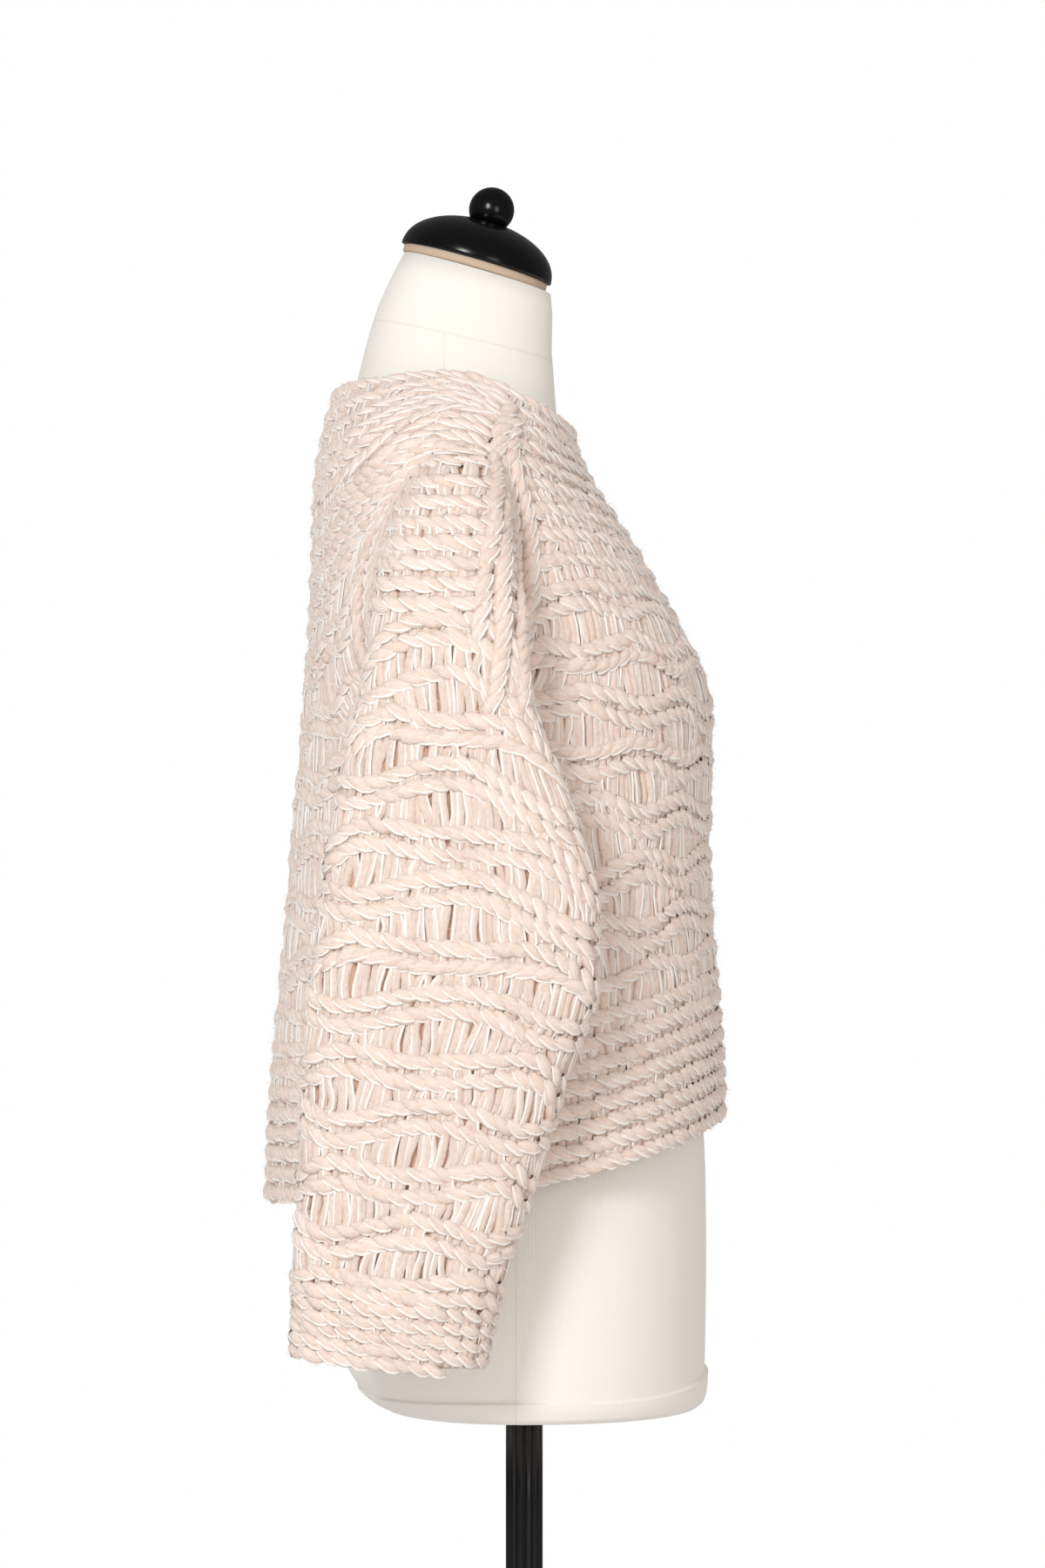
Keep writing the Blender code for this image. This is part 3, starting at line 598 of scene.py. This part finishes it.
def bumpNode(tree, strength, distance, height):
    return addNode(tree, "Bump", {"Strength": strength, "Distance": distance, "Height": height})["Normal"]


def newMaterial(name, colour, roughness):
    material = bpy.data.materials.new(name)
    material.use_nodes = True
    tree = material.node_tree
    shader = tree.nodes["Principled BSDF"]
    setInputs(tree, shader, {"Base Color": (*colour, 1), "Roughness": roughness})
    return material, tree, shader


def fibreGroup():
    # Wool-like colour and fine fibre relief: a streaky noise along the strand over a soft mottling
    tree = bpy.data.node_groups.new("woolFibre", "ShaderNodeTree")
    sockets = {
        "INPUT": {"Base": "Color", "Shade": "Color", "Relief": "Float"},
        "OUTPUT": {"Color": "Color", "Normal": "Vector"},
    }
    for way, kinds in sockets.items():
        for name, kind in kinds.items():
            tree.interface.new_socket(name, in_out=way, socket_type="NodeSocket" + kind)
    given, result = tree.nodes.new("NodeGroupInput").outputs, tree.nodes.new("NodeGroupOutput")
    place = addNode(tree, "TexCoord")
    mottle = noiseNode(tree, place["Object"], 240.0, 3.0, 0.6)
    stretched = addNode(tree, "Mapping", {"Vector": place["UV"], "Scale": (260, 2600, 1)})["Vector"]
    fibre = noiseNode(tree, stretched, 1.0, 2.0, 0.6)
    # The tone attribute shifts each strand's colour at random; on the cloth sheets it picks the painted shade
    # between the loops
    tone = addNode(tree, "Attribute", attribute_name="tone")["Fac"]
    streaked = mathNode(tree, "MULTIPLY_ADD", fibre, 0.9, mathNode(tree, "MULTIPLY_ADD", tone, 0.16, mottle))
    colour = mixNode(tree, rangeNode(tree, streaked, 0.65, 1.3), given["Base"], given["Shade"])
    setInputs(tree, result, {"Color": colour, "Normal": bumpNode(tree, given["Relief"], 0.001, fibre)})
    return tree


wool = fibreGroup()


def woolMaterial(name, base, shade, relief, sheen):
    material, tree, shader = newMaterial(name, base, 0.92)
    given = {"Base": (*base, 1), "Shade": (*shade, 1), "Relief": relief}
    fibres = addNode(tree, "Group", given, node_tree=wool)
    setInputs(tree, shader, {"Base Color": fibres["Color"], "Normal": fibres["Normal"]})
    setInputs(tree, shader, {"Sheen Weight": sheen, "Sheen Roughness": 0.6, "Specular IOR Level": 0.15})
    return material


pinkWool = woolMaterial("pinkWool", (0.99, 0.855, 0.77), (0.93, 0.73, 0.62), 1.0, 0.25)
whiteThread = woolMaterial("whiteThread", (0.985, 0.95, 0.92), (0.96, 0.91, 0.865), 0.25, 0.1)
# The inner cloths' second colours are painted shade: dark browns for the shade in the gaps between the loops,
# darkest on the body
sleeveClothPaintedShade = woolMaterial("sleevePaintedShadeCloth", (0.95, 0.79, 0.69), (0.72, 0.45, 0.32), 0.6, 0.1)
bodyClothPaintedShade = woolMaterial("bodyPaintedShadeCloth", (0.95, 0.79, 0.69), (0.28, 0.13, 0.075), 0.6, 0.1)
fuzzFibre = woolMaterial("fuzzFibre", (0.96, 0.87, 0.81), (0.93, 0.82, 0.75), 0.0, 0.2)
print("materials made")


def frontChange(u, row):
    # Over the chest the ridges stay level, so they leave the rows that rise to the shoulder
    return -sweater["frontDrop"](row) * np.abs(np.clip(u, -1, 1)) ** 2.2


def backChange(u, row):
    # Above the underarm the ridges climb over the shoulder towards the panel's edges
    climb = sweater["backClimb"]
    rise = smoothStep((row - climb["from"]) / climb["over"])
    rise = rise * np.clip((climb["gone"] - row) / climb["fade"], 0, 1)
    return climb["rows"] * rise * smoothStep((np.abs(u) - climb["across"]) / (1 - climb["across"]))


def sleeveChange(u, row):
    # The rings dip towards the front where the sleeve swings out
    return sleeve["frontDip"](row) * np.clip(np.sin(2 * math.pi * u), 0, 1) ** 1.5


def ridgesOf(panel):
    # Plain ridges, the pattern and more plain ridges, all bent by the panel's change of rows. All but
    # the first and the last waver.
    piece, change = panel["piece"], panel["change"]
    before, after = (levelRidges(rows) for rows in piece["plainRows"])
    pattern = patternRidges(*piece["pattern"], piece["waves"], panel["closed"])
    bent = [lambda u, rowOf=rowOf: rowOf(u) + change(u, rowOf(u)) for rowOf in before + pattern + after]
    wavers = [wobble(100 + i, knit["waver"]) for i in range(1, len(bent) - 1)]
    middle = [lambda u, rowOf=rowOf, wave=wave: rowOf(u) + wave(u) for rowOf, wave in zip(bent[1:-1], wavers)]
    return [bent[0], *middle, bent[-1]]


def headCurves(place):
    # The sleeve's head, in plain level ridges from one edge of the armhole to the other
    head = sleeve["head"]
    u = np.linspace(-head["reach"], head["reach"], 137)
    rows = np.linspace(0, 24, 97)
    depths = -place(u[:, None], rows[None, :])[..., 2] / mm
    ridges = []
    for height in head["heights"]:
        at = np.array([np.interp(-height, z, rows) for z in depths])
        reached = u[at > head["leastRow"]]
        ridges.append((lambda s, at=at: np.interp(s, u, at), reached.min(), reached.max()))
    return ridges


def stretchesOf(panel):
    # Every stretch of ridge with its ends and size, and every two ridges with the legs' ends between them
    ridges, whole = ridgesOf(panel), (*panel["ends"], panel["closed"])
    stretches = [(rowOf, *whole, 1.0) for rowOf in ridges]
    between = [(*pair, *whole) for pair in zip(ridges[:-1], ridges[1:])]
    if not panel["closed"]:
        return stretches, between
    cuff = len(sleeve["plainRows"][1])  # the cuff is knitted tighter
    stretches[-cuff:] = [(*stretch[:4], sleeve["cuffSize"]) for stretch in stretches[-cuff:]]
    under, underEnds = levelRidges(sleeve["under"]["rows"]), (*sleeve["under"]["ends"], False)
    stretches += [(rowOf, *underEnds, 1.0) for rowOf in under]
    edge = sleeve["edge"]
    stretches += [(rowOf, *edge["ends"], False, edge["size"]) for rowOf in levelRidges(edge["rows"])]
    between += [(*pair, *underEnds) for pair in zip(under, under[1:] + ridges[:1])]
    head = headCurves(panel["place"])
    stretches += [(*ridge, False, 1.0) for ridge in head]
    for (high, *_), (low, start, end) in zip(head, head[1:] + [(ridges[0], *sleeve["head"]["ends"])]):
        between.append((low, high, start, end, False))
    return stretches, between


def seamCurve(places, rows, mirror):
    knots = np.linspace(0, 1, len(rows))
    u, row = smoothCurve(knots, places), smoothCurve(knots, rows)
    return lambda s: (mirror * u(s), row(s))


# The sheet's tone picks the pale inside colour or, on its outside between the loops, the painted shade
cloth = {  # the sheet under the yarn, with its distances from the cloth's inside
    "inner": 0.3 * mm, "outer": 3.5 * mm, "rows": 61, "columns": 64, "rimRows": 1.5,
    "tone": 6.0, "uvScale": (0.56, 0.008),
}


def clothShell(name, panel):
    # A thin closed sheet. Its inside and rims take the pale colour, and its outside between the loops
    # takes the dark painted shade that stands for the shade in the gaps.
    closed = panel["closed"]
    u = np.linspace(*panel["ends"], cloth["columns"] + 1)[: -1 if closed else None]
    rows = np.linspace(0, panel["lastRow"], cloth["rows"])
    uAt, rowAt = np.meshgrid(u, rows)
    point, normal = pointAndNormal(panel["place"], panel["side"], uAt, rowAt)
    near, far = point + normal * cloth["inner"], point + normal * cloth["outer"]
    height, width = uAt.shape
    faces = gridFaces(2 * height, width, wrapRows=True, wrapColumns=closed)
    ring = np.arange(2 * height * width).reshape(2 * height, width)
    for column in () if closed else (0, -1):
        inner, outer = ring[:height, column], ring[height:, column][::-1]
        faces = np.concatenate([faces, np.stack([inner[:-1], outer[:-1], outer[1:], inner[1:]], axis=-1)])
    uv = np.stack([uAt, rowAt], axis=-1) * cloth["uvScale"]
    # Rows away from the rims get the painted shade on the sheet's outside
    paintedShadeRows = np.minimum(rows, rows[-1] - rows) > cloth["rimRows"]
    tone = np.where(paintedShadeRows, cloth["tone"], -cloth["tone"])[:, None] * np.ones(width)
    chunk = {
        "points": np.concatenate([near, far[::-1]]).reshape(-1, 3),
        "faces": faces,
        "uv": np.concatenate([uv, uv[::-1]]).reshape(-1, 2),
        "tone": np.concatenate([np.full(tone.shape, -cloth["tone"]), tone[::-1]]).ravel(),
    }
    return meshFrom(name, [chunk], panel["cloth"])


slants = np.random.default_rng(7)
body = {
    "piece": sweater, "side": 1, "closed": False, "ends": (-1.0, 1.0), "mirrors": (1, -1),
    "lastRow": sweater["neckline"], "fuzz": fuzz["bodyCount"], "cloth": bodyClothPaintedShade,
}
arm = {
    "piece": sleeve, "closed": True, "ends": (0.0, 1.0), "mirrors": (1,), "change": sleeveChange,
    "lastRow": sleeve["cuffEdge"], "fuzz": fuzz["sleeveCount"], "cloth": sleeveClothPaintedShade,
    "seams": sleeve["seams"], "cut": (0.38, 0.61), "cutArea": 0.159,
}
panels = {
    "front": {
        **body, "place": frontPlace, "change": frontChange, "seams": sweater["frontSeams"],
        "node": "sweater_front", "cut": (0.55, 0.56), "cutArea": 0.243,
    },
    "back": {
        **body, "place": backPlace, "change": backChange, "seams": sweater["backSeams"],
        "node": "sweater_back", "cut": (0.55, 0.62), "cutArea": 0.257,
    },
    "sleeveRight": {**arm, "place": rightSleevePlace, "side": 1, "node": "sleeve_right"},
    "sleeveLeft": {**arm, "place": leftSleevePlace, "side": -1, "node": "sleeve_left"},
}
totalFaces = 0
for name, panel in panels.items():
    place, side = panel["place"], panel["side"]
    stretches, between = stretchesOf(panel)
    yarn, thread = [], []
    for rowOf, start, end, closed, size in stretches:
        slant = 1.0 if slants.random() < knit["slantShare"] else knit["backSlant"]
        look = {**levelLook, "slant": slant, "size": size}
        curve = lambda s, rowOf=rowOf: (s, rowOf(s))
        loops, white = curveLoops(place, side, curve, start, end, closed, look)
        yarn.append(loops)
        thread.append(white)
    for stretch in between:
        legs, threads = legsBetween(place, side, *stretch)
        yarn += legs
        thread += threads
    for mirror in panel["mirrors"]:
        for look, places, rows in panel["seams"]:
            look = {"lift": knit["seamLift"], **look}
            loops, white = curveLoops(place, side, seamCurve(places, rows, mirror), 0.0, 1.0, False, look)
            yarn.append(loops)
            thread.append(white)
    fibres = fuzzFrom(yarn, panel["fuzz"])
    shell = clothShell(name + "Cloth", panel)
    yarnPiece = meshFrom(name + "Yarn", yarn, pinkWool)
    threadPiece = meshFrom(name + "Thread", thread, whiteThread)
    fuzzPiece = meshFrom(name + "Fuzz", [fibres], fuzzFibre)
    pieces = [shell, yarnPiece, threadPiece, fuzzPiece]
    for piece in pieces:
        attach(piece, "root")
    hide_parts(panel["node"])
    count = [sum(len(p.vertices) - 2 for p in piece.data.polygons) for piece in pieces]
    totalFaces += sum(count)
    print(name, "triangles:", count)
print("sweater made:", totalFaces, "triangles")

torso = {
    "squareness": 2.25,
    "around": 108,
    "hemHeights": [760, 761, 762, *np.linspace(763, 788, 50)],
    "bodyHeights": np.linspace(792, 1505.5, 48),
    "hem": {"proud": 2.6 * mm, "top": 773, "rise": 10, "wander": 1.5, "step": 1.0, "foot": 3},
    "at": curvesOf(
        ("height", *sizeNames, "tilt"),
        [
            (760, 161, -115, 93, 0, 0), (770, 166, -118, 106, 1, 0), (786, 169.5, -119, 117, 2, 0),
            (810, 172, -119.5, 123, 2, 0), (860, 174, -120, 129, 2, 0), (910, 173, -119.5, 130, 2, 0),
            (955, 167, -117, 123, 1, 0), (1000, 153, -104, 108, 0, 0), (1050, 133, -89, 90, -1, 0),
            (1100, 125, -84, 84, -1, 0), (1140, 133, -90, 91, 3, 0), (1180, 147, -104, 104, 9, 0),
            (1214, 156, -112, 115, 17, 0), (1240, 162, -106, 120, 24, 0), (1262, 167, -95.5, 124, 31, 0),
            (1290, 173, -80, 127, 38, 0), (1318, 179, -63.5, 128.3, 44, 0), (1342, 182, -48, 128, 47, 0),
            (1365, 181, -33, 126.5, 48, 0), (1380, 176.9, -25.5, 124.5, 49, 0),
            (1390, 166, -23, 122, 50, 0), (1400, 149, -22, 119.5, 50, 0),
            (1410, 126, -21.5, 117, 49.5, 0), (1420, 100.8, -20.5, 114, 49, 0),
            (1430, 77, -20, 111, 48, 1), (1442, 64, -19.5, 107.5, 46.5, 3), (1458, 58, -18.5, 103, 44, 6),
            (1476, 54, -19.3, 96.5, 41, 10), (1492, 50.5, -20, 88.5, 37, 13),
            (1505.5, 48, -19.5, 81, 33.3, 16),
        ],
    ),
}


def fullTurn(count):
    return 2 * math.pi * np.arange(count) / count


def torsoPlace(turn, height):
    # The level section at that height, tipped about its side line towards the neck's top
    turn, height = np.broadcast_arrays(turn, height)
    sizes = [torso["at"][name](height) for name in sizeNames]
    x, y = section(turn, *sizes, torso["squareness"])
    tilt = np.radians(torso["at"]["tilt"](height))
    side = sizes[3]
    return np.stack([x, side + (y - side) * np.cos(tilt), height + (y - side) * np.sin(tilt)], axis=-1) * mm


def torsoSkin():
    # The folded hem stands proud of the jersey: its depth times a step at its foot and another at its
    # top, which wanders round the form
    hem, turns = torso["hem"], -fullTurn(torso["around"])
    heights = np.concatenate([torso["hemHeights"], torso["bodyHeights"]])[:, None]
    top = hem["top"] + hem["rise"] * np.clip(np.cos(turns), 0, 1) ** 3 - hem["wander"] * np.sin(3 * turns)
    proud = smoothStep((top - heights) / hem["step"]) * smoothStep((heights - heights[0]) / hem["foot"])
    skin = torsoPlace(turns, heights)
    outward = skin * (1, 1, 0) - np.array([0, 2 * mm, 0])
    return skin + unit(outward) * hem["proud"] * proud[..., None]


def ringPoints(radius, angle, height):
    # Rings round Z: radius times cosine and sine
    radius, angle, height = np.broadcast_arrays(radius, angle, height)
    return np.stack([radius * np.cos(angle), radius * np.sin(angle), height], axis=-1)


def ringsPiece(name, points, material, scale=1.0):
    # A closed piece from rings that run upwards, each going round anticlockwise seen from above, with
    # a middle point and a fan of triangles at the first and the last ring
    rings, around = points.shape[:2]
    count = rings * around
    first = np.arange(around)
    last = first + count - around
    steps = lengthsOf(points.swapaxes(0, 1)).mean(axis=0)
    uv = np.stack([np.tile(first / around * scale, rings), np.repeat(steps, around)], axis=-1)
    chunk = {
        "points": np.concatenate([points.reshape(-1, 3), [points[0].mean(axis=0), points[-1].mean(axis=0)]]),
        "faces": gridFaces(rings, around, wrapColumns=True),
        "more": [
            np.stack([np.roll(first, -1), first, np.full(around, count)], axis=-1),
            np.stack([last, np.roll(last, -1), np.full(around, count + 1)], axis=-1),
        ],
        "uv": np.concatenate([uv, np.zeros((2, 2))]),
        "tone": np.zeros(count + 2),
    }
    return meshFrom(name, [chunk], material)


def lathe(profile, around, tilt=0.0, centre=(0, 0, 0)):
    # Rings of a profile of radius and height round an axis that leans back by tilt about X
    radius, height = np.array(profile).T[..., None]
    c, s = math.cos(tilt), math.sin(tilt)
    tipped = np.array([[1, 0, 0], [0, c, -s], [0, s, c]])
    return ringPoints(radius, fullTurn(around), height) @ tipped.T + centre


def speckledMaterial(name, colour, roughness, relief, scale, shine=0.5):
    # Paint or wood with a fine grain: noise moves the roughness and lifts a small bump
    material, tree, shader = newMaterial(name, colour, roughness)
    grain = noiseNode(tree, addNode(tree, "TexCoord")["Object"], scale, 4.0, 0.6)
    rough = rangeNode(tree, grain, 0.0, 1.0, roughness * 0.8, roughness * 1.25)
    bump = bumpNode(tree, relief, 0.0004, grain)
    setInputs(tree, shader, {"Roughness": rough, "Normal": bump, "Specular IOR Level": shine})
    return material


def jerseyMaterial():
    # Fine cream jersey: thin upright ribs, a fine weave and the seams as bump, a slow mottle in the colour
    material, tree, shader = newMaterial("creamJersey", (0.9, 0.85, 0.78), 0.85)
    place = addNode(tree, "TexCoord")
    mottle = noiseNode(tree, place["Object"], 9.0, 3.0)
    cream = mixNode(tree, mottle, (0.92, 0.875, 0.80, 1), (0.94, 0.905, 0.845, 1))
    bands = {"Vector": place["UV"], "Scale": 150.0, "Distortion": 0.6, "Detail Scale": 2.0}
    ribs = addNode(tree, "TexWave", bands, wave_type="BANDS", bands_direction="X")["Fac"]
    relief = mathNode(tree, "ADD", ribs, noiseNode(tree, place["Object"], 900.0, 2.0))
    axes = addNode(tree, "SeparateXYZ", {"Vector": place["Object"]})
    # Distance to the side seam, which lies further back on the neck, and to the neck seam's plane:
    # height less slope times depth
    side = mathNode(tree, "SUBTRACT", axes["Y"], rangeNode(tree, axes["Z"], 1.2, 1.42, 0.0055, 0.052))
    slope = mathNode(tree, "MULTIPLY_ADD", axes["Y"], -0.23, axes["Z"])
    neck = mathNode(tree, "SUBTRACT", slope, 1.4505)
    sideLine, neckLine = (
        rangeNode(tree, mathNode(tree, "ABSOLUTE", away), 0.0, 0.0011, 1.0, 0.0) for away in (side, neck)
    )
    # The side seam ends at the neck seam
    sideLine = mathNode(tree, "MULTIPLY", sideLine, mathNode(tree, "LESS_THAN", neck, 0.0))
    seam = mathNode(tree, "MAXIMUM", sideLine, neckLine)
    colour = mixNode(tree, seam, cream, (0.85, 0.81, 0.74, 1))
    bump = bumpNode(tree, 0.35, 0.0003, mathNode(tree, "MULTIPLY_ADD", seam, -1.5, relief))
    setInputs(tree, shader, {"Base Color": colour, "Normal": bump, "Sheen Weight": 0.1})
    return material


jersey = jerseyMaterial()
satinBlack = speckledMaterial("satinBlackWood", (0.003, 0.003, 0.0035), 0.2, 0.04, 220.0, 0.35)
poleBlack = speckledMaterial("poleBlack", (0.004, 0.004, 0.0045), 0.33, 0.06, 160.0)
rawWood = speckledMaterial("rawWood", (0.60, 0.46, 0.34), 0.7, 0.3, 90.0)

torsoPiece = ringsPiece("jerseyTorso", torsoSkin(), jersey, scale=1.05)

neckAxis = (math.radians(16), (0.0, 31.7 * mm, 1511.7 * mm))
cap = {"radius": 51.2 * mm, "height": 29 * mm, "foot": 0.6, "tip": 0.6 * mm, "squareness": 2.1}
steps = np.linspace(0, math.pi / 2, 28)
dome = rounded(np.stack([np.cos(steps), np.sin(steps)], axis=-1), cap["squareness"])
dome = dome[:-1] * (cap["radius"], cap["height"])
capProfile = [(cap["radius"] * cap["foot"], 0), *dome, (cap["tip"], cap["height"])]
capPiece = ringsPiece("neckCap", lathe(capProfile, 96, *neckAxis), satinBlack)

ball = {"radius": 15 * mm, "height": 36.8 * mm}
low = math.acos((cap["height"] * 0.985 - ball["height"]) / ball["radius"])
steps = np.linspace(low, 0.03, 30)
ballProfile = np.stack([np.sin(steps), np.cos(steps)], axis=-1) * ball["radius"] + (0, ball["height"])
ballPiece = ringsPiece("finialBall", lathe(ballProfile, 64, *neckAxis), satinBlack)

disc = {"radius": 49, "foot": -5.5, "top": -0.3}  # in millimetres
wide, low, high = disc["radius"], disc["foot"], disc["top"]
discProfile = [(wide - 1, low - 0.3), (wide, low + 0.5), (wide, high - 0.8), (wide - 0.8, high)]
discPiece = ringsPiece("neckDisc", lathe(np.array(discProfile) * mm, 96, *neckAxis), rawWood)

pole = {"radius": 12.4 * mm, "fluteDepth": 1.3 * mm, "flutes": 12, "bottom": 46.3 * mm, "top": 759.7 * mm}
angle = fullTurn(240)
poleRadius = pole["radius"] - pole["fluteDepth"] * (0.5 + 0.5 * np.cos(pole["flutes"] * angle)) ** 3
levels = np.linspace(pole["bottom"], pole["top"], 12)[:, None]
polePiece = ringsPiece("flutedPole", ringPoints(poleRadius, angle, levels), poleBlack)

base = {  # in millimetres, with each radius and height up the boss
    "radius": 170, "thickness": 18, "rounding": 5,
    "boss": [(40, 18), (35, 19.5), (32, 24), (29.5, 42.5), (28.5, 44.5), (26, 46), (13, 46)],
}
steps = np.linspace(math.pi / 2, 0, 8)
rim = np.stack([np.sin(steps), np.cos(steps)], axis=-1) * base["rounding"]
rim = rim + (base["radius"] - base["rounding"], base["thickness"] - base["rounding"])
baseProfile = np.array([(base["radius"] - 1, 0), (base["radius"], 1), *rim, *base["boss"]]) * mm
basePiece = ringsPiece("roundBase", lathe(baseProfile, 128), poleBlack)
for piece, node, slot in (
    (torsoPiece, "form_torso", "jersey"),
    (capPiece, "neck_cap", "black_wood"),
    (ballPiece, "finial_ball", "black_wood"),
    (discPiece, "neck_disc", "raw_wood"),
    (polePiece, "pole", "black_metal"),
    (basePiece, "base", "black_metal"),
):
    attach(piece, "root")
    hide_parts(node)
print("dress form made")

view = {"distance": 4.43, "height": 1.168, "shiftY": 0.00115, "lens": 154.0, "sensor": 36.0}
camera = bpy.data.objects.new("photoCamera", bpy.data.cameras.new("photoCamera"))
camera.data.lens = view["lens"]
camera.data.sensor_fit = "VERTICAL"
camera.data.sensor_height = view["sensor"]
camera.data.clip_end = 100
camera.location = (-view["distance"], view["shiftY"], view["height"])
camera.rotation_euler = (math.pi / 2, 0, -math.pi / 2)
bpy.context.scene.collection.objects.link(camera)
bpy.context.scene.camera = camera

softboxes = {
    "keySoftbox": {"place": (-3.3, 1.1, 2.55), "size": (0.8, 1.1), "power": 66, "tint": (0.965, 0.985, 1.0)},
    "fillSoftbox": {"place": (-3.3, -1.6, 1.5), "size": (1.0, 1.5), "power": 16, "tint": (1.0, 0.94, 0.89)},
}
aim = np.array([0, 0, 1.15])
for name, softbox in softboxes.items():
    light = bpy.data.lights.new(name, "AREA")
    light.shape = "RECTANGLE"
    light.size, light.size_y = softbox["size"]
    light.energy = softbox["power"]
    light.color = softbox["tint"]
    thing = bpy.data.objects.new(name, light)
    x, y, z = aim - softbox["place"]
    thing.location = softbox["place"]
    thing.rotation_euler = (math.atan2(math.hypot(x, y), -z), 0, math.atan2(y, x) - math.pi / 2)
    bpy.context.scene.collection.objects.link(thing)

room = {"colour": (1, 0.97, 0.945, 1), "strength": 0.6, "lessForGloss": 0.45, "backdrop": (1, 1, 1, 1)}
world = bpy.data.worlds.new("paleStudio")
world.use_nodes = True
tree = world.node_tree
rays = addNode(tree, "LightPath")
strength = mathNode(tree, "MULTIPLY_ADD", rays["Is Glossy Ray"], -room["lessForGloss"], room["strength"])
setInputs(tree, tree.nodes["Background"], {"Color": room["colour"], "Strength": strength})
lit = tree.nodes["Background"].outputs["Background"]
seen = addNode(tree, "Background", {"Color": room["backdrop"], "Strength": 1.0})["Background"]
either = addNode(tree, "MixShader", {"Fac": rays["Is Camera Ray"], 1: lit, 2: seen})["Shader"]
setInputs(tree, tree.nodes["World Output"], {"Surface": either})
bpy.context.scene.world = world
bpy.context.scene.view_settings.view_transform = "Standard"

ground = {"colour": (0.86, 0.86, 0.86), "radii": [2.4, 1.6, 0.8, 0.001], "around": 96, "height": -0.5 * mm}
floorPoints = ringPoints(np.array(ground["radii"])[:, None], fullTurn(ground["around"]), ground["height"])
floorChunk = {
    "points": floorPoints.reshape(-1, 3),
    "faces": gridFaces(*floorPoints.shape[:2], wrapColumns=True),
    "uv": floorPoints[..., :2].reshape(-1, 2),
    "tone": np.zeros(floorPoints[..., 0].size),
}
floor = meshFrom("paleFloor", [floorChunk], newMaterial("paleFloor", ground["colour"], 0.7)[0])
print("camera, lights and floor set")
